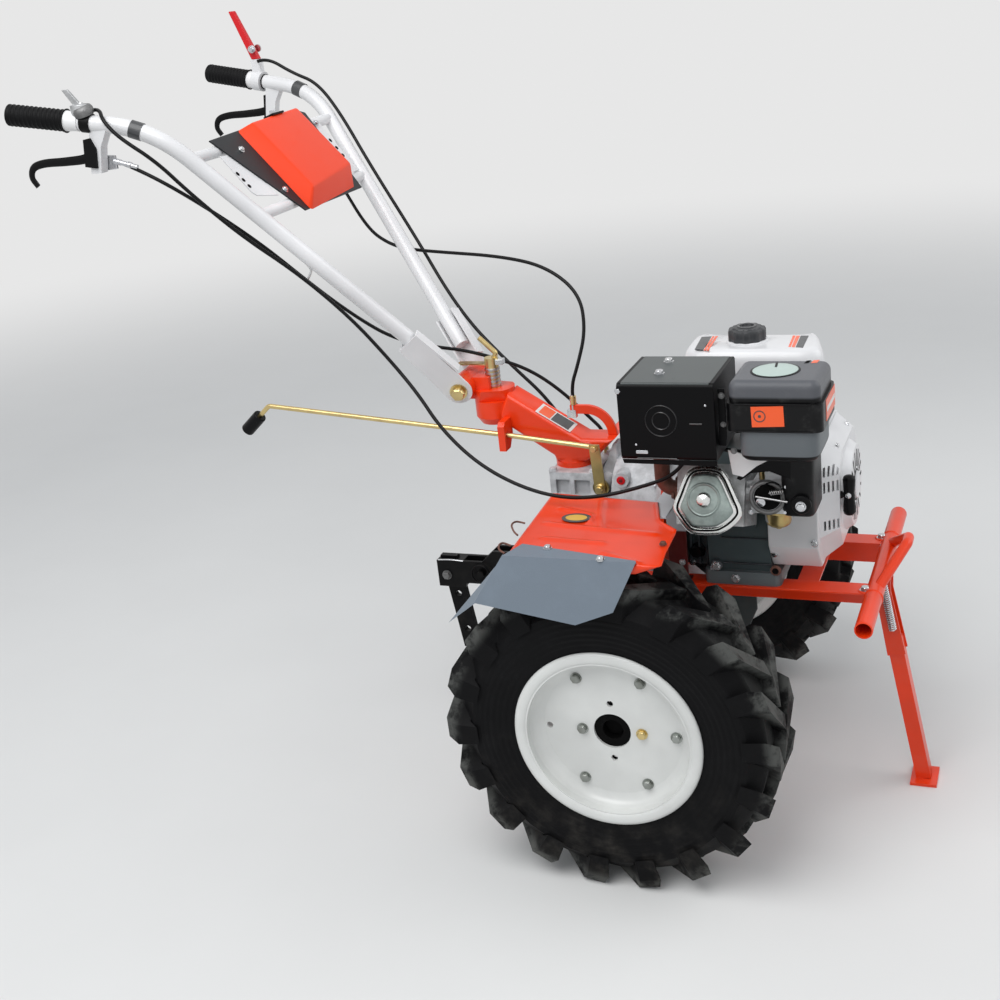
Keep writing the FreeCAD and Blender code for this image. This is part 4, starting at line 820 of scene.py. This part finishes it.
def tankPlace(x, y, z):  # the front end is cut back and the top falls towards the far side
    x = x - np.maximum(0, (x - 190) / 130) * np.maximum(0, y + 20) * 0.26
    return x, y, z - 34 * np.maximum(0, (y - 62) / 108) ** 1.4 * np.maximum(0, (z - 815) / 69)


def flutes(a):
    return 1 + 0.035 * np.sign(np.sin(10 * a)) * np.abs(np.sin(10 * a)) ** 0.35


put("tankShell", softBox(tank["centre"], tank["half"], tank["rows"], 6, tankPlace, 96), "white", smooth=50,
    stands="fuel_tank")
for name, (corners, pieces) in tank["decals"].items():
    p, q, r, s = np.array(corners, float)
    for k, (a, b, finish) in enumerate(pieces):  # each from share a to share b of the decal's width
        outline = [p + (s - p) * a, q + (r - q) * a, q + (r - q) * b, p + (s - p) * b]
        put(name + str(k), slab(outline, "z", tank["top"] - 0.4, tank["top"] + 0.5), "white", finish)
cap = [(33, 0), (34, 2), (34, 18), (32.4, 21.5), (27, 23), (25.5, 25), (14, 25.6), (13, 24)]
put("tankCapTop", knob(cap, tank["cap"], "z", 128, flutes), "black_plastic", "capShell", smooth=35,
    stands="tank_cap")
put("tankCapRing", band([(13, 24.5), (13.5, 27), (17.5, 27), (18, 24.5)], tank["cap"], "z"), "black_plastic",
    "decalGrey", smooth=50)
put("tankNeck", knob([(38, -2), (38, 1.5), (36, 3)], (171, 24, tank["top"]), "z"), "white")
bolts("tankBolts", [(115, -36, 752, "Y", 10), (275, -36, 740, "Y", 10)])
print("tank dressed")


# column, turret and gear case
bolts("columnBolts", [(-177 + x, y, 655, "z", 11) for x, y in circle(30, (35, 145, 215, 325))], "orange",
      "orange")
bolts("turretBolts", [(x, y, 645, "z", 13) for x in (-206, -124) for y in (-54, 54)], "case_white",
      "case_white")


def armCard(x0, x1, y0, y1, lift):  # a thin patch on the arm's sloping top
    return card([(x, y, 794 - 0.6164 * (x + 296) + lift) for x, y in patch(x0, y0, x1, y1)], 0.5)


put("armDecalEdge", armCard(-240, -172, -32, 16, 0.0), "orange", "decalWhite")
put("armDecalOrange", armCard(-235, -213, -28, 12, 0.4), "orange", "decalOrange")
put("armDecalDark", armCard(-211, -177, -28, 12, 0.4), "orange", "decalGrey")
for side, label, out in sides:
    bolt = boltHead((-387.1, side * 55.4, 805.9), (0.2144, side * 0.9361, -0.2789), 25, 12, 17.5, 3)
    put("socketBolt_" + label, bolt, "zinc", "zinc")
rings = [band([(13.8, h), (15.2, h + 1), (15.2, h + 5), (13.8, h + 6)], (-334, 0, 800), "z", 40)
         for h in (2, 10, 18, 26, 34)]
put("lockSleeveRings", joined(rings), "steel")
put("lockNut", knob([(13, 0), (13, 8), (11, 10)], (-334, 0, 846), "z", 6), "zinc", "zinc", bevel=0.8)
pins = [disc((-113, -65, 698), "Y", 8, 5), disc((-107, -70, 617), "Y", 10, 4, 1)]
put("shiftPin", joined(pins), "zinc", "zinc")
bolts("shiftBolts", [(-113, -70, 698, "Y", 11), (-107, -74, 617, "Y", 13)], finish="zinc")
collar = [(11.5, 0), (13, 1), (16, 1), (16, -6), (11.5, -6)]
put("shiftCollar", band(collar, (-107, -66, 617), "Y", 40), "zinc", "brass")
put("bellCentre", disc((-62, -76, 638), "Y", 8.5, 2.2, 0.8), "red_plastic")
put("bellCentreDot", disc((-62, -78, 638), "Y", 3.6, 1, 0.3), "red_plastic", "darkRed")
clevis = [knob([(4.4, 0), (4.4, 20), (5.6, 21), (5.6, 29), (4, 30), (4, 38)], (-172, 0, 746), "z", 24),
          slab(patch(-184, 738, -166, 754), "y", -6, 6)]
put("clutchClevis", joined(clevis), "zinc", "silverZinc")
put("clampBlock", slab(patch(-324, -8, -308, 8), "z", 846, 857), "zinc", "silverZinc", bevel=1)
bolts("bellBolts", [(10, y, 588 + z, "X", 12) for y, z in circle(90, range(30, 390, 60))])
caseLine = [(82, 303), (60, 384), (24, 414), (24, 470), (-86, 470), (-134, 470), (-134, 350), (-82, 303),
            (-76, 260), (-50, 232), (0, 218), (50, 232), (76, 260)]
put("caseSeam", slab(caseLine, "y", -7, 7), "case_white", bevel=1.5)
bolts("seamBolts", twoSides([(70, -7, 290, "Y", 11), (-70, -7, 282, "Y", 11), (0, -7, 226, "Y", 11)]))
axleRim = [(46, 0), (46, 9), (48, 11), (68, 11), (70, 9), (70, 0)]
cover = [(-100, 420), (-10, 420), (4, 434), (4, 560), (-10, 574), (-100, 574), (-114, 560), (-114, 434)]
for side, label, out in sides:
    put("axleCover_" + label, band(axleRim, (0, side * 70, axleHeight), out), "case_white", smooth=35)
    bolts("axleCoverBolts_" + label,
          [(x, side * 81, axleHeight + z, out, 10) for x, z in circle(59, range(0, 360, 60))])
    put("sideCover_" + label, sideSlab(cover, side, 69, 76), "case_white", bevel=2)
    bolts("sideCoverBolts_" + label, [(x, side * 76, z, out, 10) for x in (-100, -10) for z in (434, 497, 560)])
put("fillPlug", knob([(15, 0), (15, 3), (11, 4), (11, 12)], (-20, 40, 600), "z", 6), "steel", bevel=0.8)
bolts("drainPlug", [(0, 0, 225, "Z", 16)])
print("gear case dressed")


# handlebars: the bend's corner and the grip's end of the left bar, and the bar's direction at each side of it
bar = {"corner": np.array((-806, 300, 1370.0)), "tip": np.array((-1078, 339, 1418.0)),
       "lower": np.array((-0.5706, 0.3518, 0.7421)), "upper": np.array((-0.9751, 0.1398, 0.1721)),
       "bendRadius": 200, "toCentre": 214.8, "lever": [(-926, 1342), (-946, 1330), (-990, 1327), (-1040, 1326),
                                                       (-1067, 1319), (-1075, 1302), (-1066, 1285)],
       "leverBlock": [(-945, 1316), (-920, 1312), (-915, 1346), (-924, 1366), (-938, 1364)]}
alongGrip = bar["tip"] - bar["corner"]
gripLook = {"length": 112, "over": 2.5, "radius": 18.4, "rib": 1.5, "pitch": 8.5}


def gripSurface(side):
    # radius over share s and angle a: the radius plus a slanting rib, rib max(0, sin(2 pi s length / pitch + a)),
    # swelling at both ends and rounded off at the outer one
    s = np.linspace(0, 1, 150)[:, None]
    a = (np.arange(40) * 2 * pi / 40)[None, :]
    rib = np.clip(np.sin(s * 2 * pi * gripLook["length"] / gripLook["pitch"] + a * side), 0, 1)
    rib = rib * gripLook["rib"] * (s > 0.04) * (s < 0.95)
    swell = 3.2 * np.exp(-(s / 0.03) ** 2) + 1.4 * np.exp(-((s - 1) / 0.04) ** 2)
    r = (gripLook["radius"] + rib + swell) / 1000
    r = np.where(s > 0.985, r * np.sqrt(np.clip(1 - ((s - 0.985) / 0.0155) ** 2, 0.02, 1)), r)
    way, u, v = square3(alongGrip * (1, side, 1))
    reach = (gripLook["length"] - s[..., None] * (gripLook["length"] + gripLook["over"])) / 1000
    line = spot(*bar["tip"] * (1, side, 1)) - way * reach
    return loft(line + r[..., None] * (np.cos(a)[..., None] * u + np.sin(a)[..., None] * v))


def barPoint(x, side):
    return (bar["corner"] + alongGrip * (x - bar["corner"][0]) / alongGrip[0]) * (1, side, 1)


def onBend(degrees, side):
    # a point of the bar's bend, and its direction: an arc that touches both straight parts
    inwards, along = bar["upper"] - bar["lower"], bar["upper"] + bar["lower"]
    inwards, along = inwards / np.linalg.norm(inwards), along / np.linalg.norm(along)
    a, middle = radians(degrees), bar["corner"] + inwards * bar["toCentre"]
    at = middle + bar["bendRadius"] * (along * sin(a) - inwards * cos(a))
    return at * (1, side, 1), (along * cos(a) + inwards * sin(a)) * (1, side, 1)


for side, label, out in sides:
    way = alongGrip * (1, side, 1)
    put("gripRibs_" + label, gripSurface(side), "grip_rubber", smooth=50, stands="grip_" + label)
    rings = [band(sleeve(15.1, 16.2, 1.6), barPoint(x, side), way, 40) for x in (-938, -930)]
    put("barBands_" + label, joined(rings), "black_plastic")
    collar = [(15.1, -13), (18.6, -13), (17.8, -6), (16.8, 4), (16.4, 13), (15.1, 13)]
    put("barCollar_" + label, band(collar, barPoint(-957, side), way * -1, 40), "white", "white_plastic",
        smooth=60)
    put("barGreyBand_" + label, band(sleeve(15.1, 16.2, 11), *onBend(8, side), 40), "grey_plastic", "decalGrey")
    bolts("leverPivots_" + label, [(-929, side * 321, 1355, out, 11), (-933, side * 321, 1327, out, 13)])
    ferrule = knob([(5.6, 0), (5.6, 12), (4.6, 13), (4.6, 26), (5.8, 27), (5.8, 33), (4.2, 34), (4.2, 46)],
                   (-900, side * 301, 1320), (0.95, side * -0.1, -0.3), 24)
    put("cableFerrule_" + label, ferrule, "steel", "silverZinc")
    tab = sideSlab([(-922, 1304), (-896, 1306), (-896, 1330), (-922, 1332)], side, 299, 303)
    put("ferruleTab_" + label, tab, "steel", "silverZinc", bevel=0.6)
    blade = wire([(x, side * 322, z) for x, z in bar["lever"]], np.linspace(9, 6, 49), 8, 12, 0.42, (0, 1, 0))
    put("brakeLever_" + label, joined([blade, sideSlab(bar["leverBlock"], side, 314, 330)]), "black_plastic",
        smooth=50, stands="hand_lever_" + label)
housing = [(0.01, 0), (18, 0), (18.6, 4), (18.6, 10), (16, 15), (8, 18), (0.01, 18.4)]
put("throttleHousing", turned(housing, (-930, -319, 1406), (-0.1, -0.25, 0.96), 48), "cast", "darkCast",
    smooth=50)
bolts("throttleScrew", [(-932, -323, 1423, "z", 9)])
clamp = band(sleeve(15.2, 17.6, 9), barPoint(-929, -1), alongGrip * (1, -1, 1), 48)
put("throttleClamp", clamp, "black_plastic")
put("reverseJoint", joined([disc((-944, 309, 1462), "Y", 8, 4), disc((-944, 331, 1462), "y", 8, 4)]), "steel",
    "silverZinc")
bolts("reverseBolts", [(-944, 305, 1462, "Y", 11), (-944, 329, 1402, "y", 10)])
print("handlebars dressed")


# tool box, its plate and the punched straps, on the plane of the bars from the lower crossbar up
box = {"crossbar": (-670.9, 1194.3), "barsRun": (-386, 502), "lidAbove": 15, "corner": 9,
       "base": [(-33, -78, 0), (167, -97, 0), (180, 150, 0), (-22, 125, 0)],
       "top": [(-4, -67, 31), (165, -68, 20), (170, 116, 20), (14, 118, 31)],
       "rings": [(0, 2, -1), (0, 0), (0.06, 0), (0.93, 0), (0.98, 1), (1, 3.5), (1, 7, 0.4)],
       "plate": [(164, -199), (-12, -101), (-29, -92), (-29, 149), (166, 172), (176, 150), (168, -90)],
       "straps": [[(130, -201), (124, -150), (20, -128), (34, -190), (44, -197)],
                  [(150, 168), (150, 196), (10, 196), (10, 140)]],
       "screws": ((128, -132), (24, -104), (136, 176)),
       "holes": [(s, -194 + (86 - s) * 0.12) for s in (56, 71, 86)] + [(s, 184) for s in (52, 72, 92)]}
upX, upZ = np.array(box["barsRun"]) / np.hypot(*box["barsRun"])
planeWay = (upZ, 0, -upX)


def inPlane(s, y, n):  # s up the bars' plane, y across it and n above it
    return box["crossbar"][0] + upX * s + upZ * n, y, box["crossbar"][1] + upZ * s - upX * n


def lidRing(share, inset, extra=0):
    # between the lid's base and its top, drawn in towards the middle
    p = np.array(box["base"], float)
    p = p + (np.array(box["top"], float) - p) * share
    middle = p.mean(axis=0)
    p = p + (middle - p) / np.linalg.norm(middle - p, axis=1)[:, None] * inset
    s, y, n = softCorners(p, box["corner"] - 3 * share).T
    return spot(*inPlane(s, y, box["lidAbove"] + n + extra))


def onPlate(outline, low, high):  # a flat outline lying on the bars' plane
    s, y = np.array(outline, float).T
    return loft(np.array([spot(*inPlane(s, y, n)) for n in (low, high)]))


put("boxLid", loft(np.array([lidRing(*row) for row in box["rings"]])), "orange_plastic", smooth=50,
    stands="tool_box")
put("boxPlate", onPlate(box["plate"], 11, 14.5), slotOf["box_plate"], "greyBlack", bevel=0.8,
    stands="box_plate")
put("boxStraps", joined([onPlate(strap, 8.5, 11) for strap in box["straps"]]), slotOf["box_straps"], bevel=0.5,
    stands="box_straps")
for k, (s, y) in enumerate(box["screws"]):
    put("plateScrew%d" % k, boltHead(inPlane(s, y, 15), planeWay, 9, 4, 7, 1), "steel", "silverZinc")
holes = [knob([(4.4, 0), (4.4, 0.5)], inPlane(s, y, 10.8), planeWay, 20) for s, y in box["holes"]]
put("strapHoles", joined(holes), "white", "shadowBlack")
tail = wire([(-616, -166, 1092), (-617, -152, 1076), (-631, -150, 1055)], 2.6)
put("tieTail", tail, "white", "white_plastic", smooth=60)
latch = [inPlane(s, y, n) for s, y, n in ((178, 12, 17), (178, 56, 17), (170, 56, 40), (170, 12, 40))]
put("lidLatch", card(latch, 4), "black_plastic", bevel=1)
print("tool box dressed")


# hitch, rails, bumper and stand
hitchPin, bumper = (-400, 0, 398), {"x": 412, "z": 450, "half": 262, "weld": 134}
put("hitchPin", knob([(7.6, -34), (7.6, 30), (6, 33)], hitchPin, "y", 32), "black_paint")
ringPath = [(-400 + 20 * cos(a), -30, 398 + 20 * sin(a)) for a in np.linspace(0.2, 2 * pi - 0.2, 14)]
put("hitchPinRing", wire(ringPath, 1.8, 4, up=(0, 1, 0)), "black_paint", smooth=60)
bolts("hitchBolts", twoSides([(-482, -20, 388, "Y", 15)]) + [(-144, y, z, "X", 15) for y in (-42, 42)
                                                             for z in (376, 448)], finish="darkCast")
lip = wire([(-500, -18, 421), (-470, -19, 423), (-442, -18, 421)], 2.2, flat=0.6)
put("socketLip", lip, "steel", "silverZinc", smooth=60)
holeRims = [band([(7, -0.4), (7.6, 0.7), (9.4, 0.7), (10, -0.4)], (-479 + (421 - z) * 0.138, side * 7, z),
                 (0, side, 0), 32) for z in (256, 339) for side in (-1, 1)]
put("barHoleRims", joined(holeRims), "black_paint")
bolts("railBolts", twoSides([(396, -120, 458, "z", 14), (30, -112, 458, "z", 13)]))
bolts("yokeBolts", [(22.3, y, z, "X", 14) for y in (-108, 108) for z in (470, 530)])
put("railEnds", joined([disc((400, y, 458), "z", 17, 1.6, 1.2) for y in (-120, 120)]), "orange")
caps = [band([(13.6, -1), (13.6, 1.2), (15.9, 0.8), (16.1, -1)],
             (bumper["x"], side * bumper["half"], bumper["z"]), (0, side, 0), 48) for side in (-1, 1)]
put("bumperEnds", joined(caps), "orange", smooth=50)
beads = [band([(16, -3), (18, 0), (16, 3)], (bumper["x"], side * bumper["weld"], bumper["z"]), "y", 48)
         for side in (-1, 1)]
put("bumperWelds", joined(beads), "orange", smooth=60)
bolts("standPivot", [(415, -23, 404, "Y", 14), (415, 23, 404, "y", 14)])
springEnds = (415, -28, 436), (433, -23, 330)
spring = put("standSpring", coil(*springEnds, 6.5, 26, 1.5, 12), "steel", "silverZinc", body=None, smooth=60)
tuple(spot(*springEnds[0]))
tuple(spot(*springEnds[1]))
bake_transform(spring)
tongue = [(150, 452), (176, 452), (176, 418), (186, 409), (186, 377), (161, 320), (150, 306), (141, 303),
          (130, 308), (116, 323), (100, 382), (104, 418), (140, 446)]
put("mudShield", slab(tongue, "y", -64, -58), "grey_plastic", "guardGrey", bevel=1.4)
print("frame dressed")


# broken edges on the plain castings and sheets
edgeWidths = {"gear_case": 2.2, "clutch_bell": 2, "crankcase": 2, "muffler_guard": 1.2, "column": 2,
              "swivel_head": 2, "hitch": 1.2, "depth_bar": 0.8, "frame": 1, "tank_bracket": 0.8,
              "stand_leg": 1.2, "fan_shroud": 4, "recoil_cover": 1.2, "carburettor": 1.5, "hub_left": 1,
              "hub_right": 1, "reverse_clamp": 1, "reverse_lever": 2, "throttle_lever": 1, "clutch_arm": 1,
              "gear_knob": 3, "gear_link": 1, "stop_fittings": 0.6, "fender_stay_left": 0.8,
              "fender_stay_right": 0.8}
# the stays painted dark red as shade, pale grey above the engine case's height
coat("fender_stay_left", "stayTone")
coat("fender_stay_right", "stayTone")
coat("gear_link", "brass")
for node, width in edgeWidths.items():
    rounded(node, width)
print("edges broken")


# the stage: pale floor, soft sky and two lamps
backdrop = (0.8, 0.8, 0.8, 1)
lamps = {"skyPanel": {"at": (-600, -1900, 3600), "aim": (0, 0, 500), "size": 3.2, "watts": 95},
         "fillPanel": {"at": (2600, 900, 2400), "aim": (0, 0, 500), "size": 2.6, "watts": 28}}


def isSeen(tree, *rays):  # 1 for a camera ray, and for the other kinds that are named
    paths = tree.nodes.new("ShaderNodeLightPath")
    seen = Wire(tree, paths.outputs["Is Camera Ray"])
    for ray in rays:
        seen = seen.most(Wire(tree, paths.outputs["Is %s Ray" % ray]))
    return seen


def plainWhere(tree, share, shader, plain, output):
    # the output shows the shader, and the plain backdrop where the share is 1
    plain.inputs["Color"].default_value = backdrop
    either = tree.nodes.new("ShaderNodeMixShader")
    feed(tree, either.inputs[0], share)
    tree.links.new(shader.outputs[0], either.inputs[1])
    tree.links.new(plain.outputs[0], either.inputs[2])
    tree.links.new(either.outputs[0], tree.nodes[output].inputs[0])


def stageFloor():
    # the floor turns into the plain backdrop colour a few metres out, for the camera's own rays only
    f = Finish("paleFloor", Roughness=0.85)
    f.put(Base_Color=f.mix(f.noise(3, 4), (0.70, 0.70, 0.69), (0.74, 0.74, 0.73)))
    x, y = f.axis("X"), f.axis("Y")
    far = f.ramp((x * x + y * y) ** 0.5, 2.6, 7.0) * isSeen(f.tree, "Glossy")
    plainWhere(f.tree, far, f.shader, f.tree.nodes.new("ShaderNodeEmission"), "Material Output")
    floor = bpy.data.objects.new("floor", bpy.data.meshes.new("floor"))
    reach = 60.0
    floor.data.from_pydata([(-reach, -reach, 0), (reach, -reach, 0), (reach, reach, 0), (-reach, reach, 0)], [],
                           [(0, 1, 2, 3)])
    floor.data.materials.append(f.material)
    bpy.context.scene.collection.objects.link(floor)


def skyLight():
    world = bpy.data.worlds.new("softSky")
    world.use_nodes = True
    tree = world.node_tree
    back = tree.nodes["Background"]
    back.inputs["Color"].default_value = (0.86, 0.89, 0.93, 1)
    back.inputs["Strength"].default_value = 0.62
    pale = tree.nodes.new("ShaderNodeBackground")
    plainWhere(tree, isSeen(tree, "Glossy", "Transmission"), back, pale, "World Output")
    bpy.context.scene.world = world


def setLamps():
    for name, lamp in lamps.items():
        data = bpy.data.lights.new(name, "AREA")
        data.shape, data.size, data.energy = "DISK", lamp["size"], lamp["watts"]
        thing = bpy.data.objects.new(name, data)
        away, u, v = square3(spot(*lamp["at"]) - spot(*lamp["aim"]))
        turn = Matrix([u, v, away]).transposed().to_4x4()
        thing.matrix_world = Matrix.Translation(spot(*lamp["at"])) @ turn
        bpy.context.scene.collection.objects.link(thing)


stageFloor()
skyLight()
setLamps()
bpy.context.scene.view_settings.view_transform = "Standard"
print("stage set")
